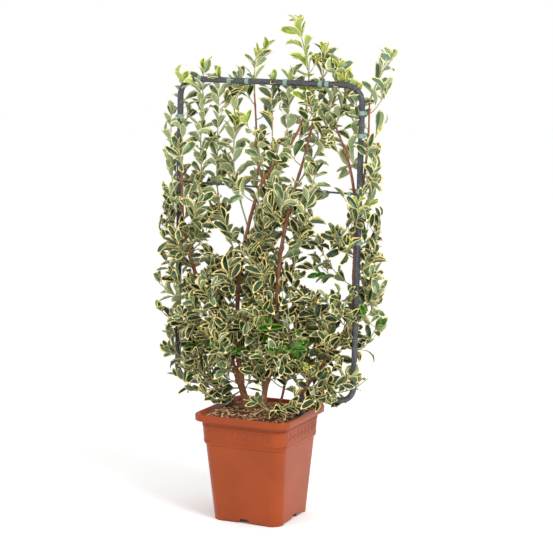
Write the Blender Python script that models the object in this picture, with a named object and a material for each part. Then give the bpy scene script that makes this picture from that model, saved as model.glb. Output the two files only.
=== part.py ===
"""A variegated Japanese spindle trained flat on a tube frame, in a square terracotta-coloured pot.

Metres, +Z up. The origin is the middle of the pot's flat underside, -Y is the pot's front and
+X its right side. The frame and all that is tied to it are laid out in the panel's own
coordinates: U to the right along the frame, V out of its back, W up from the ground.
"""

import math
import random

import bmesh
import bpy
import numpy as np
from mathutils import Matrix, Vector

# Touching pieces keep this gap.
GAP = 0.0003

# Pot: half sides of the square outline from the ground up.
POT_HEIGHT = 0.300
POT_FOOT_HALF = 0.1023
POT_BODY_TOP_HALF = 0.1202
POT_STEP_Z = 0.214
POT_COLLAR_Z = 0.217
POT_COLLAR_FOOT_HALF = 0.1236
POT_COLLAR_TOP_HALF = 0.1276
POT_LIP_Z = 0.2804
POT_LIP_HALF = 0.1393
POT_LIP_ROUND = 0.0025
POT_RIM_WIDTH = 0.0085
POT_CORNER_RADIUS = 0.033
POT_CORNER_STEPS = 5
POT_WALL = 0.003
POT_FLOOR_TOP = 0.016
FOOT_LENGTH = 0.036
FOOT_STEP_HEIGHT = 0.004
FOOT_STEP_DEPTH = 0.012
NOTCH_WIDTH = 0.032
NOTCH_HEIGHT = 0.012
NOTCH_DEPTH = 0.022

# Compost and bark: a flat heap where the stems stand, falling to the walls.
COMPOST_EDGE_Z = 0.281
COMPOST_SHOULDER_Z = 0.275
COMPOST_TOP_Z = 0.294
COMPOST_RINGS = 4
HEAP_HALF = 0.088
BARK_BUMP = 0.0022

# Frame: one bent tube with two crossbars, leaning a little in the pot.
PANEL_FOOT = Vector((0.005, 0.0025, POT_HEIGHT))
PANEL_LEAN_DEG = 1.4
PANEL_ROLL_DEG = 2.0
TUBE_RADIUS = 0.008
FRAME_HALF = 0.268
FRAME_TOP = 1.194
TOP_BEND = 0.048
FOOT_BEND = 0.040
JOINT_RUN = 0.004
LEG_RUN_W = 0.353
LEG_PLACES = {"left": -0.107, "right": 0.110}
LEG_BEND = 0.035
LEG_END_W = 0.235
BAR_RADIUS = 0.0027
BAR_HEIGHTS = {"frame_middle_bar": 0.912, "frame_lower_bar": 0.608}
BEND_STEP_DEG = 15
TUBE_SIDES = 16

# Stems: guide points (U, V, W, radius) from the compost up.
GROUND = COMPOST_TOP_Z + GAP
FLARE = 1.35
FLARE_HEIGHT = 0.012
STEMS = {
    "stem_left": (
        (-0.047, 0.000, GROUND, 0.0112),
        (-0.061, -0.006, 0.350, 0.0094),
        (-0.093, -0.013, 0.428, 0.0074),
        (-0.143, -0.014, 0.535, 0.0065),
        (-0.184, -0.013, 0.605, 0.0060),
        (-0.217, -0.016, 0.690, 0.0053),
        (-0.243, -0.019, 0.780, 0.0046),
        (-0.249, -0.019, 0.880, 0.0040),
        (-0.252, -0.018, 0.965, 0.0033),
    ),
    "stem_middle": (
        (0.002, 0.000, GROUND, 0.0090),
        (0.008, -0.004, 0.352, 0.0076),
        (0.029, -0.009, 0.435, 0.0068),
        (0.040, -0.010, 0.560, 0.0061),
        (0.046, -0.011, 0.709, 0.0054),
        (0.068, -0.010, 0.845, 0.0046),
        (0.085, -0.008, 0.915, 0.0042),
        (0.107, 0.002, 1.000, 0.0036),
        (0.128, 0.014, 1.110, 0.0028),
    ),
    "stem_right": (
        (0.062, 0.010, GROUND, 0.0086),
        (0.100, 0.015, 0.343, 0.0076),
        (0.157, 0.017, 0.428, 0.0067),
        (0.208, 0.018, 0.500, 0.0060),
        (0.246, 0.018, 0.585, 0.0054),
        (0.253, 0.017, 0.720, 0.0048),
        (0.248, 0.015, 0.900, 0.0040),
        (0.226, 0.011, 1.005, 0.0034),
        (0.190, 0.012, 1.085, 0.0026),
    ),
    "stem_thin": (
        (0.034, 0.030, GROUND, 0.0042),
        (0.050, 0.026, 0.350, 0.0034),
        (0.060, 0.022, 0.430, 0.0030),
        (0.062, 0.020, 0.520, 0.0024),
    ),
    "stem_low_left": (
        (-0.092, 0.012, GROUND, 0.0044),
        (-0.108, 0.016, 0.325, 0.0036),
        (-0.150, 0.020, 0.372, 0.0030),
        (-0.190, 0.024, 0.400, 0.0024),
    ),
    "stem_low_right": (
        (0.058, -0.042, GROUND, 0.0036),
        (0.066, -0.052, 0.312, 0.0030),
        (0.080, -0.068, 0.338, 0.0022),
    ),
}

# Boughs: host stem, height of the root on it, the way the root points, then guide points.
BOUGHS = {
    "bough_left_inner": (
        "stem_left",
        0.366,
        (1.0, 0.1, 0.6),
        (
            (-0.074, -0.010, 0.445, 0.0066),
            (-0.077, -0.011, 0.530, 0.0062),
            (-0.075, -0.011, 0.640, 0.0057),
            (-0.062, -0.011, 0.735, 0.0053),
            (-0.040, -0.010, 0.840, 0.0048),
            (-0.010, -0.009, 0.926, 0.0043),
            (0.046, -0.005, 1.001, 0.0037),
            (0.084, 0.006, 1.066, 0.0032),
            (0.103, 0.014, 1.124, 0.0028),
        ),
    ),
    "bough_upper_left": (
        "bough_left_inner",
        0.932,
        (-1.0, 0.5, 0.6),
        (
            (-0.036, 0.006, 0.995, 0.0030),
            (-0.043, 0.014, 1.080, 0.0026),
            (-0.050, 0.015, 1.160, 0.0021),
        ),
    ),
    "bough_right_outer": (
        "stem_right",
        0.885,
        (1.0, 0.9, 0.4),
        (
            (0.268, 0.026, 0.950, 0.0030),
            (0.279, 0.022, 1.060, 0.0027),
            (0.281, 0.018, 1.150, 0.0022),
        ),
    ),
}
LIMB_STEPS = 3
LIMB_BEVEL = 2
ROOT_LENGTH = 0.010

# Crown outline: height W, left edge, right edge, depth in front, depth behind.
OUTLINE = (
    (0.300, -0.130, 0.150, 0.115, 0.115),
    (0.335, -0.255, 0.250, 0.130, 0.130),
    (0.380, -0.300, 0.300, 0.140, 0.140),
    (0.480, -0.325, 0.345, 0.140, 0.140),
    (0.600, -0.345, 0.362, 0.135, 0.135),
    (0.720, -0.335, 0.355, 0.120, 0.120),
    (0.860, -0.315, 0.330, 0.095, 0.095),
    (1.020, -0.322, 0.326, 0.085, 0.085),
    (1.150, -0.315, 0.345, 0.080, 0.080),
    (1.230, -0.280, 0.362, 0.070, 0.070),
    (1.290, -0.060, 0.362, 0.060, 0.060),
    (1.372, 0.035, 0.125, 0.050, 0.050),
)

# Foliage masses in rows: height W and depth V of their middles, how far the stem rises past
# the middle, the share of nodes that branch, then the middles along U.
ROWS = {
    "low_front": (0.415, -0.064, 0.055, 1.0, (-0.200, -0.020, 0.190)),
    "low_back": (0.420, 0.068, 0.055, 1.0, (-0.170, 0.010, 0.200)),
    "mid_front": (0.550, -0.062, 0.055, 1.0, (-0.245, -0.065, 0.130)),
    "mid_back": (0.555, 0.066, 0.055, 1.0, (-0.250, -0.080, 0.100, 0.285)),
    "waist_front": (0.690, -0.054, 0.060, 1.0, (-0.200, -0.030, 0.140)),
    "waist_back": (0.690, 0.058, 0.060, 1.0, (-0.270, -0.100, 0.070, 0.270)),
    "upper": (0.840, 0.026, 0.100, 1.0, (-0.270, -0.135, 0.015, 0.155, 0.288)),
    "top": (1.040, 0.028, 0.150, 1.0, (-0.262, -0.140, -0.010, 0.130, 0.235)),
    "tall_shoot": (1.230, 0.014, 0.110, 0.3, (0.088,)),
    "corner_shoot": (1.205, 0.018, 0.050, 1.0, (0.318,)),
    "pot_front": (0.345, -0.090, 0.030, 0.5, (0.082,)),
}
BOWS = (0.0, 0.012, -0.012, 0.024, -0.024)
MOST_BEND_DEG = 95
BRANCH_DROP = 0.050
BRANCH_STEEP = 0.7
MASS_SPACE = 0.0018
LEAF_SPACE = 0.0065
LIMB_SPACE = 0.0026

# Twigs and leaves. After a union, no two walls may come as near as a pinch.
PINCH = 0.0000015
TWIG_ROOT_RADIUS = 0.0028
TWIG_TIP_RADIUS = 0.0016
SPRIG_RADIUS = 0.0014
TWIG_FACING = (0.83, 0.44, 0.34)
NODE_SPACING = 0.034
TRIES = 14
TURN_SPREAD = 0.9
SHRINK = 0.025
PAIR_OFFSET = 0.0015
SPRIG_LENGTH = (0.030, 0.056)
SPRIG_RISE = 0.25
SPRIG_ANGLE_DEG = 52
LEAF_LENGTH = (0.060, 0.074)
LEAF_WIDTH_SHARE = 0.50
LEAF_THICK_SHARE = 0.05
LEAF_FOLD_SHARE = 0.10
LEAF_SUNK = 0.0002
LEAF_ANGLE_DEG = 50
SEED = 11

# Lines of sight that the photographed plant leaves open: U, W and half sizes in the panel.
SIGHT_U = 0.47
SIGHT_W = 0.15
WINDOWS = (
    (-0.075, 0.830, 0.034, 0.045),
    (0.155, 0.860, 0.030, 0.034),
    (-0.140, 0.745, 0.038, 0.040),
    (0.222, 0.850, 0.022, 0.040),
    (0.236, 0.640, 0.016, 0.034),
    (0.030, 1.080, 0.018, 0.050),
    (0.195, 0.990, 0.020, 0.030),
    (0.090, 0.940, 0.020, 0.026),
)

COLOURS = {
    "terracotta_plastic": ((0.42, 0.10, 0.04), 0.42, 0.0),
    "bark_compost": ((0.10, 0.05, 0.03), 0.95, 0.0),
    "coated_tube": ((0.10, 0.10, 0.11), 0.45, 0.0),
    "woody_stem": ((0.22, 0.10, 0.06), 0.80, 0.0),
    "variegated_leaf": ((0.24, 0.30, 0.14), 0.45, 0.0),
}


# Scene and materials


def clear_scene():
    for obj in list(bpy.data.objects):
        bpy.data.objects.remove(obj, do_unlink=True)


def material(name):
    """The Principled material of this name, made once."""
    found = bpy.data.materials.get(name)
    if found:
        return found
    colour, roughness, metallic = COLOURS[name]
    made = bpy.data.materials.new(name)
    made.use_nodes = True
    shader = made.node_tree.nodes["Principled BSDF"]
    shader.inputs["Base Color"].default_value = (*colour, 1.0)
    shader.inputs["Roughness"].default_value = roughness
    shader.inputs["Metallic"].default_value = metallic
    return made


def place(name, data, slot, collection=None):
    obj = bpy.data.objects.new(name, data)
    data.materials.append(material(slot))
    (collection or bpy.context.scene.collection).objects.link(obj)
    return obj


def mesh_object(name, bm, slot, collection=None, smooth=False):
    mesh = bpy.data.meshes.new(name)
    bm.to_mesh(mesh)
    bm.free()
    if smooth:
        mesh.shade_smooth()
        mesh.set_sharp_from_angle(angle=math.radians(40))
    return place(name, mesh, slot, collection)


def helper_box(name, low, high):
    """A box used only to cut, hidden from the render."""
    bm = bmesh.new()
    size = Vector(high) - Vector(low)
    middle = (Vector(high) + Vector(low)) / 2
    where = Matrix.Translation(middle) @ Matrix.Diagonal((*size, 1.0))
    bmesh.ops.create_cube(bm, size=1.0, matrix=where)
    cutter = mesh_object(name, bm, "coated_tube")
    cutter.hide_render = True
    cutter.display_type = "WIRE"
    return cutter


def apply_modifiers(obj):
    graph = bpy.context.evaluated_depsgraph_get()
    mesh = bpy.data.meshes.new_from_object(obj.evaluated_get(graph))
    obj.modifiers.clear()
    obj.data = mesh


def cut(obj, cutters):
    """Cuts each cutter out of the object, then removes the cutters."""
    for cutter in cutters:
        modifier = obj.modifiers.new("cut", "BOOLEAN")
        modifier.operation = "DIFFERENCE"
        modifier.object = cutter
    apply_modifiers(obj)
    for cutter in cutters:
        bpy.data.objects.remove(cutter, do_unlink=True)


# Pot and compost


def rounded_square(bm, half, z, radius=POT_CORNER_RADIUS):
    """The edges of a square outline with rounded corners, anticlockwise from above."""
    ring = []
    for corner in range(4):
        start = corner * math.pi / 2
        centre = Vector((half - radius, half - radius, z))
        centre = Matrix.Rotation(start, 3, "Z") @ centre
        for step in range(POT_CORNER_STEPS + 1):
            angle = start + step / POT_CORNER_STEPS * math.pi / 2
            out = Vector((math.cos(angle), math.sin(angle), 0.0)) * radius
            ring.append(bm.verts.new(centre + out))
    return ring


def loft(bm, rings):
    """Faces between each ring and the next, and a cap on the first and the last."""
    for low, high in zip(rings, rings[1:]):
        for i in range(len(low)):
            j = (i + 1) % len(low)
            bm.faces.new((low[i], low[j], high[j], high[i]))
    bm.faces.new(list(reversed(rings[0])))
    bm.faces.new(rings[-1])


def pot_half_at(z):
    """Half side of the pot's outside at height z, below the lip."""
    if z <= POT_STEP_Z:
        share = z / POT_STEP_Z
        return POT_FOOT_HALF + (POT_BODY_TOP_HALF - POT_FOOT_HALF) * share
    share = (z - POT_COLLAR_Z) / (POT_LIP_Z - POT_COLLAR_Z)
    share = min(max(share, 0.0), 1.0)
    return POT_COLLAR_FOOT_HALF + (POT_COLLAR_TOP_HALF - POT_COLLAR_FOOT_HALF) * share


def make_pot():
    outside = [
        (POT_FOOT_HALF, 0.0),
        (POT_BODY_TOP_HALF, POT_STEP_Z),
        (POT_COLLAR_FOOT_HALF, POT_COLLAR_Z),
        (POT_COLLAR_TOP_HALF, POT_LIP_Z),
        (POT_LIP_HALF - POT_LIP_ROUND, POT_LIP_Z),
        (POT_LIP_HALF, POT_LIP_Z + POT_LIP_ROUND),
        (POT_LIP_HALF, POT_HEIGHT - POT_LIP_ROUND),
        (POT_LIP_HALF - POT_LIP_ROUND, POT_HEIGHT),
    ]
    rim_inner = POT_LIP_HALF - POT_RIM_WIDTH
    inside = [
        (rim_inner, POT_HEIGHT),
        (POT_COLLAR_TOP_HALF - POT_WALL, POT_LIP_Z),
        (POT_COLLAR_FOOT_HALF - POT_WALL, POT_COLLAR_Z + POT_WALL),
        (POT_BODY_TOP_HALF - POT_WALL, POT_STEP_Z + POT_WALL),
        (pot_half_at(POT_FLOOR_TOP) - POT_WALL, POT_FLOOR_TOP),
    ]
    bm = bmesh.new()
    rings = []
    for half, z in outside + inside:
        inset = POT_LIP_HALF - half
        radius = max(POT_CORNER_RADIUS - inset * 0.3, 0.02)
        rings.append(rounded_square(bm, half, z, radius))
    loft(bm, rings)
    pot = mesh_object("pot", bm, "terracotta_plastic")
    cut(pot, foot_cutters())
    pot.data.shade_smooth()
    pot.data.set_sharp_from_angle(angle=math.radians(35))
    return pot


def foot_cutters():
    """The steps between the corner feet, and the drain notch in the middle of each side."""
    cutters = []
    edge = POT_FOOT_HALF + 0.01
    for side in range(4):
        turn = Matrix.Rotation(side * math.pi / 2, 4, "Z")
        reach = POT_FOOT_HALF - FOOT_LENGTH
        step = helper_box(
            "step_cutter",
            (-reach, -edge, -0.01),
            (reach, -POT_FOOT_HALF + FOOT_STEP_DEPTH, FOOT_STEP_HEIGHT),
        )
        notch = helper_box(
            "notch_cutter",
            (-NOTCH_WIDTH / 2, -edge, -0.01),
            (NOTCH_WIDTH / 2, -POT_FOOT_HALF + NOTCH_DEPTH, NOTCH_HEIGHT),
        )
        for cutter in (step, notch):
            cutter.data.transform(turn)
            cutters.append(cutter)
    return cutters


def compost_z(x, y, chance):
    """Height of the compost: a flat heap, then a slope to the wall with bark bumps."""
    reach = POT_COLLAR_TOP_HALF - POT_WALL
    out = max(abs(x), abs(y))
    if out <= HEAP_HALF + 0.001:
        return COMPOST_TOP_Z
    share = (out - HEAP_HALF) / (reach - HEAP_HALF)
    bump = chance.uniform(-BARK_BUMP, BARK_BUMP)
    return COMPOST_TOP_Z + (COMPOST_EDGE_Z - COMPOST_TOP_Z) * share + bump


def make_compost():
    chance = random.Random(SEED)
    clear = POT_WALL + GAP
    levels = [
        (pot_half_at(POT_FLOOR_TOP) - clear, POT_FLOOR_TOP + GAP),
        (POT_BODY_TOP_HALF - clear, POT_STEP_Z + POT_WALL + GAP),
        (POT_COLLAR_FOOT_HALF - clear, POT_COLLAR_Z + POT_WALL + GAP),
        (pot_half_at(COMPOST_SHOULDER_Z) - clear, COMPOST_SHOULDER_Z),
    ]
    bm = bmesh.new()
    rings = []
    for half, z in levels:
        radius = max(POT_CORNER_RADIUS - (POT_LIP_HALF - half) * 0.3, 0.02)
        rings.append(rounded_square(bm, half, z, radius))
    top_half = levels[-1][0]
    for ring in range(COMPOST_RINGS):
        share = ring / (COMPOST_RINGS - 1)
        half = top_half - 0.002 + (HEAP_HALF - top_half + 0.002) * share
        radius = POT_CORNER_RADIUS * (1 - 0.4 * share)
        row = rounded_square(bm, half, 0.0, radius)
        for vert in row:
            vert.co.z = compost_z(vert.co.x, vert.co.y, chance)
        rings.append(row)
    loft(bm, rings)
    compost = mesh_object("compost", bm, "bark_compost")
    cut(compost, [leg_drill(u) for u in LEG_PLACES.values()])
    return compost


def leg_drill(u):
    """The hole that one leg of the frame stands in."""
    bm = bmesh.new()
    low = Vector((u, 0.0, LEG_END_W - GAP))
    high = Vector((u, 0.0, LEG_RUN_W))
    bmesh.ops.create_cone(
        bm,
        cap_ends=True,
        segments=TUBE_SIDES,
        radius1=TUBE_RADIUS + 2 * GAP,
        radius2=TUBE_RADIUS + 2 * GAP,
        depth=(high - low).length,
        matrix=PANEL @ Matrix.Translation((low + high) / 2),
    )
    drill = mesh_object("leg_drill", bm, "coated_tube")
    drill.hide_render = True
    drill.display_type = "WIRE"
    return drill


# Panel, tubes and limbs

PANEL = (
    Matrix.Translation(PANEL_FOOT)
    @ Matrix.Rotation(math.radians(PANEL_LEAN_DEG), 4, "X")
    @ Matrix.Rotation(math.radians(PANEL_ROLL_DEG), 4, "Y")
    @ Matrix.Translation((0.0, 0.0, -POT_HEIGHT))
)


def curve_data(name, points, radii, bevel):
    curve = bpy.data.curves.new(name, "CURVE")
    curve.dimensions = "3D"
    curve.bevel_depth = 1.0
    curve.bevel_resolution = bevel
    curve.use_fill_caps = True
    spline = curve.splines.new("POLY")
    spline.points.add(len(points) - 1)
    for point, at, radius in zip(spline.points, points, radii):
        point.co = (*at, 1.0)
        point.radius = radius
    return curve


def tube_object(name, route, radius, slot, bevel):
    curve = curve_data(name, route, [radius] * len(route), bevel)
    return place(name, curve, slot)


def bend(centre, radius, start_deg, end_deg):
    """Points along an arc in the panel, from start to end."""
    count = max(int(abs(end_deg - start_deg) / BEND_STEP_DEG), 1)
    points = []
    for i in range(count + 1):
        angle = math.radians(start_deg + (end_deg - start_deg) * i / count)
        u = centre[0] + radius * math.cos(angle)
        w = centre[1] + radius * math.sin(angle)
        points.append((u, 0.0, w))
    return points


def frame_routes():
    """The frame's tube in pieces, each as points in the panel."""
    routes = {}
    corner_w = FRAME_TOP - TOP_BEND
    corner_u = FRAME_HALF - TOP_BEND
    left = bend((-corner_u, corner_w), TOP_BEND, 180, 90)
    right = bend((corner_u, corner_w), TOP_BEND, 90, 0)
    top_w = corner_w - JOINT_RUN
    start, stop = (-FRAME_HALF, 0.0, top_w), (FRAME_HALF, 0.0, top_w)
    routes["frame_top_bar"] = [start, *left, *right, stop]
    foot_w = LEG_RUN_W + FOOT_BEND
    joint_w = foot_w + JOINT_RUN
    for name, leg_u in LEG_PLACES.items():
        side = math.copysign(1.0, leg_u)
        post = side * FRAME_HALF
        up = [(post, 0.0, joint_w + GAP), (post, 0.0, top_w - GAP)]
        routes[f"frame_{name}_upright"] = up
        foot = bend((FRAME_HALF - FOOT_BEND, foot_w), FOOT_BEND, 0, -90)
        down = bend((abs(leg_u) + LEG_BEND, LEG_RUN_W - LEG_BEND), LEG_BEND, 90, 180)
        leg = [(FRAME_HALF, 0.0, joint_w), *foot, *down, (abs(leg_u), 0.0, LEG_END_W)]
        routes[f"frame_{name}_leg"] = [(side * u, v, w) for u, v, w in leg]
    end = FRAME_HALF - TUBE_RADIUS - GAP
    for name, w in BAR_HEIGHTS.items():
        routes[name] = [(-end, 0.0, w), (end, 0.0, w)]
    return routes


def smooth_route(guides):
    """Points on a smooth curve through the guides, each with its radius."""
    rows = np.array(guides, float)
    ends = np.vstack([2 * rows[0] - rows[1], rows, 2 * rows[-1] - rows[-2]])
    points = []
    for i in range(1, len(ends) - 2):
        a, b, c, d = ends[i - 1 : i + 3]
        for step in range(LIMB_STEPS):
            t = step / LIMB_STEPS
            cubic = (-a + 3 * b - 3 * c + d) * t**3
            square = (2 * a - 5 * b + 4 * c - d) * t**2
            points.append((cubic + square + (c - a) * t + 2 * b) / 2)
    points.append(rows[-1])
    return np.array(points)


def stem_route(guides):
    """A stem from its flat cut at the compost, with a flare over the first stretch."""
    route = smooth_route(guides)
    foot = route[0].copy()
    foot[3] *= FLARE
    above = foot.copy()
    above[2] += FLARE_HEIGHT
    above[3] = route[0][3]
    return np.vstack([foot, above, route[route[:, 2] > above[2] + GAP]])


def level_foot(route):
    """World points and radii of a stem, with its first stretch straight up."""
    world = [PANEL @ Vector(row[:3]) for row in route]
    world[0].z = GROUND
    world[1].x, world[1].y = world[0].x, world[0].y
    return world


def at_height(route, w):
    """Point, direction and radius on a limb where it passes height w in the panel."""
    for low, high in zip(route, route[1:]):
        if low[2] <= w <= high[2]:
            share = (w - low[2]) / (high[2] - low[2])
            along = high[:3] - low[:3]
            here = low + (high - low) * share
            return here[:3], along / np.linalg.norm(along), here[3]
    raise ValueError(f"no point at height {w}")


def root_points(route, w, direction):
    """The first two points of a limb that leaves its host squarely, clear of its bark."""
    here, along, radius = at_height(route, w)
    out = np.array(direction, float)
    out -= along * np.dot(out, along)
    out /= np.linalg.norm(out)
    start = here + out * (radius + GAP)
    return start, start + out * ROOT_LENGTH


def limb_routes():
    routes = {name: stem_route(guides) for name, guides in STEMS.items()}
    for name, (host, w, direction, guides) in BOUGHS.items():
        start, leave = root_points(routes[host], w, direction)
        radius = guides[0][3]
        rest = smooth_route(((*leave, radius), *guides))
        routes[name] = np.vstack([[*start, radius], rest])
    return routes


def make_limb(name, route):
    if name in STEMS:
        points = level_foot(route)
    else:
        points = [PANEL @ Vector(row[:3]) for row in route]
    curve = curve_data(name, points, route[:, 3], LIMB_BEVEL)
    return place(name, curve, "woody_stem")


def make_frame(routes):
    for name, route in routes.items():
        bevel = 2 if name in BAR_HEIGHTS else 3
        radius = BAR_RADIUS if name in BAR_HEIGHTS else TUBE_RADIUS
        tube = tube_object(name, route, radius, "coated_tube", bevel)
        tube.data.transform(PANEL)


# Foliage


def outline_at(w):
    """Left, right, front and back edges of the crown at height w."""
    rows = np.array(OUTLINE)
    return [np.interp(w, rows[:, 0], rows[:, column]) for column in (1, 2, 3, 4)]


def in_window(point):
    """Whether a point lies on a line of sight that stays open."""
    u = point[0] + SIGHT_U * point[1]
    w = point[2] + SIGHT_W * point[1]
    return any(
        ((u - at_u) / half_u) ** 2 + ((w - at_w) / half_w) ** 2 < 1
        for at_u, at_w, half_u, half_w in WINDOWS
    )


class Obstacles:
    """Capsules that leaves and twigs keep clear of."""

    def __init__(self):
        self.rows = []

    def add(self, route, radii):
        for a, b, ra, rb in zip(route, route[1:], radii, radii[1:]):
            self.rows.append((*a, *b, max(ra, rb)))

    def distance(self, points):
        """The least distance from the points to any capsule's surface."""
        rows = np.array(self.rows)
        start, end, radius = rows[:, :3], rows[:, 3:6], rows[:, 6]
        along = end - start
        offset = points[:, None, :] - start[None]
        length = np.maximum((along**2).sum(axis=1), 1e-12)
        share = np.clip((offset * along).sum(axis=2) / length, 0, 1)
        nearest = offset - share[:, :, None] * along
        return (np.linalg.norm(nearest, axis=2) - radius).min()


def samples(path, step=0.005):
    """Points along a path, no further apart than the step."""
    points = []
    for a, b in zip(path, path[1:]):
        count = max(int(np.linalg.norm(b - a) / step), 1)
        points += [a + (b - a) * i / count for i in range(count)]
    points.append(path[-1])
    return np.array(points)


def blade_points(base, way, upper, length):
    """Points spread over a leaf's blade, past the narrow stretch at its foot."""
    side = np.cross(way, upper)
    points = []
    for along in np.linspace(0.25, 1.0, 9):
        wide = min(along / 0.55, (1.0 - along) / 0.45) * length * LEAF_WIDTH_SHARE / 2
        for across in (-1.0, -0.5, 0.0, 0.5, 1.0):
            lift = abs(across) * wide * 2 / LEAF_WIDTH_SHARE * LEAF_FOLD_SHARE
            points.append(base + way * length * along + side * wide * across + upper * lift)
    return np.array(points)


def unit(vector):
    return vector / max(np.linalg.norm(vector), 1e-9)


def mass_habits():
    """The middle, rise and branching share of each mass."""
    habits = {}
    for row, (w, v, rise, share, columns) in ROWS.items():
        for number, u in enumerate(columns, 1):
            name = f"leaves_{row}_{number}" if len(columns) > 1 else f"leaves_{row}"
            habits[name] = (np.array((u, v, w)), rise, share)
    return habits


def in_space(points, name, middles):
    """Whether every point is nearer to this mass's middle than to another's, in the outline."""
    own = middles[name]
    for other, centre in middles.items():
        if other == name:
            continue
        apart = np.linalg.norm(centre - own)
        near = ((points - centre) ** 2).sum(axis=1) - ((points - own) ** 2).sum(axis=1)
        if (near / (2 * apart) < MASS_SPACE).any():
            return False
    for point in points:
        left, right, front, back = outline_at(point[2])
        seen = point[0] + SIGHT_U * point[1]
        if min(point[0], seen) < left or max(point[0], seen) > right:
            return False
        if not -front < point[1] < back:
            return False
        if point[2] < POT_HEIGHT + 0.006 or point[2] > OUTLINE[-1][0]:
            return False
        if in_window(point):
            return False
    return True


def branch_path(middle, rise, bow, route, w):
    """Path of a mass's stem: out of its host, to the mass's middle, then up."""
    here = at_height(route, w)[0]
    knee = middle + np.array((0.0, bow, -0.02))
    start, leave = root_points(route, w, knee - here)
    lean = unit(np.array((0.15 * np.sign(middle[0]), 0.0, 1.0)))
    return np.array((start, leave, knee, knee + lean * (rise + 0.02)))


def sharpest_bend(path):
    """The largest turn in a path, in degrees."""
    ways = [unit(b - a) for a, b in zip(path, path[1:])]
    turns = [np.dot(a, b) for a, b in zip(ways, ways[1:])]
    return math.degrees(math.acos(np.clip(min(turns), -1, 1)))


def branch_choices(middle, limbs):
    """Places on the limbs that a mass could grow from, the nearest first."""
    choices = []
    for route in limbs.values():
        for w in np.arange(route[0][2] + 0.02, route[-1][2] - 0.004, 0.01):
            away = middle - at_height(route, w)[0]
            cost = np.hypot(away[0], away[1]) + BRANCH_STEEP * abs(away[2] - BRANCH_DROP)
            choices.append((cost, w, route))
    return sorted(choices, key=lambda choice: choice[0])


def plan_branches(habits, limbs, obstacles, tubes):
    """For each mass, the nearest limb that its stem can reach without touching anything."""
    clear = TWIG_ROOT_RADIUS + LIMB_SPACE
    paths = {}
    for name, (middle, rise, _) in habits.items():
        for _, w, route in branch_choices(middle, limbs):
            tries = [branch_path(middle, rise, bow, route, w) for bow in BOWS]
            tries = [path for path in tries if sharpest_bend(path) < MOST_BEND_DEG]
            fit = [
                path
                for path in tries
                if obstacles.distance(samples(path[1:])) > clear
                and tubes.distance(samples(path)) > clear
            ]
            if fit:
                paths[name] = fit[0]
                break
        else:
            raise ValueError(f"no branch reaches {name}")
        obstacles.add(paths[name], [TWIG_ROOT_RADIUS] * len(paths[name]))
    return paths


class Foliage:
    """The twigs and leaves of one mass, grown by rule from its stem."""

    def __init__(self, name, path, share, middles, obstacles, chance):
        self.name = name
        self.path = path
        self.share = share
        self.middles = middles
        self.obstacles = obstacles
        self.chance = chance
        self.twigs = []
        self.leaves = []
        self.blades = []

    def fits(self, points):
        if not in_space(points, self.name, self.middles):
            return False
        return self.obstacles.distance(points) > LIMB_SPACE

    def clear_of_leaves(self, blade):
        """Whether a blade stays off the mass's other leaves."""
        return all(
            ((blade[:, None] - other[None]) ** 2).sum(axis=2).min() > LEAF_SPACE**2
            for other in self.blades
        )

    def turned(self, along, out, number):
        """The way out from a twig, turned about it by chance after the first try."""
        turn = self.chance.uniform(-TURN_SPREAD, TURN_SPREAD) * min(number, 1)
        return out * math.cos(turn) + np.cross(along, out) * math.sin(turn)

    def leaf(self, base, along, out):
        """Adds a leaf that leaves its twig at an angle, if one of a few tries fits."""
        for number in range(TRIES):
            length = self.chance.uniform(*LEAF_LENGTH) * (1 - number * SHRINK)
            angle = math.radians(LEAF_ANGLE_DEG + self.chance.uniform(-22, 22))
            out_way = self.turned(along, out, number)
            way = unit(along * math.cos(angle) + out_way * math.sin(angle))
            upper = unit(along - way * np.dot(along, way))
            blade = blade_points(base, way, upper, length)
            if self.clear_of_leaves(blade) and self.fits(blade):
                self.leaves.append((base, way, upper, length))
                self.blades.append(blade)
                return

    def pair(self, base, along, out):
        self.leaf(base, along, out)
        self.leaf(base, along, -out)

    def tuft(self, base, along, out):
        """The last leaves of a shoot: a pair, then a crossed pair closer to the tip."""
        self.pair(base - along * 0.008, along, out)
        self.pair(base - along * 0.002, along, unit(np.cross(along, out)))

    def sprig(self, base, along, out):
        """A side shoot with a tuft on its tip, if one of a few tries fits, or else a leaf."""
        for number in range(TRIES):
            angle = math.radians(SPRIG_ANGLE_DEG + self.chance.uniform(-12, 12))
            out_way = self.turned(along, out, number)
            way = along * math.cos(angle) + out_way * math.sin(angle)
            way = unit(way + np.array((0, 0, SPRIG_RISE)))
            tip = base + way * self.chance.uniform(*SPRIG_LENGTH)
            if self.fits(samples(np.array((base + way * 0.008, tip)))):
                self.twigs.append((base, tip))
                self.tuft(tip, way, unit(np.cross(way, along)))
                return
        self.leaf(base, along, out)

    def grow(self):
        """Walks up the stem from where it enters the space, with nodes turned by quarters."""
        walk = samples(self.path[1:], 0.004)
        lengths = np.linalg.norm(np.diff(walk, axis=0), axis=1)
        reached = np.concatenate([[0.0], np.cumsum(lengths)])
        count = max(int(reached[-1] / NODE_SPACING), 2)
        turn = self.chance.uniform(0, math.pi)
        for node in range(1, count + 1):
            at = reached[-1] * node / count
            index = min(int(np.searchsorted(reached, at)), len(walk) - 1)
            base = walk[index]
            along = unit(walk[index] - walk[max(index - 2, 0)])
            across = unit(np.cross(along, (0.31, 0.95, 0.1)))
            other = np.cross(along, across)
            out = across * math.cos(turn) + other * math.sin(turn)
            turn += math.pi / 2
            if node == count:
                self.tuft(base, along, out)
            elif in_space(base[None], self.name, self.middles):
                grow = self.sprig if self.chance.random() < self.share else self.leaf
                grow(base + along * PAIR_OFFSET, along, out)
                grow(base - along * PAIR_OFFSET, along, -out)


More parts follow.
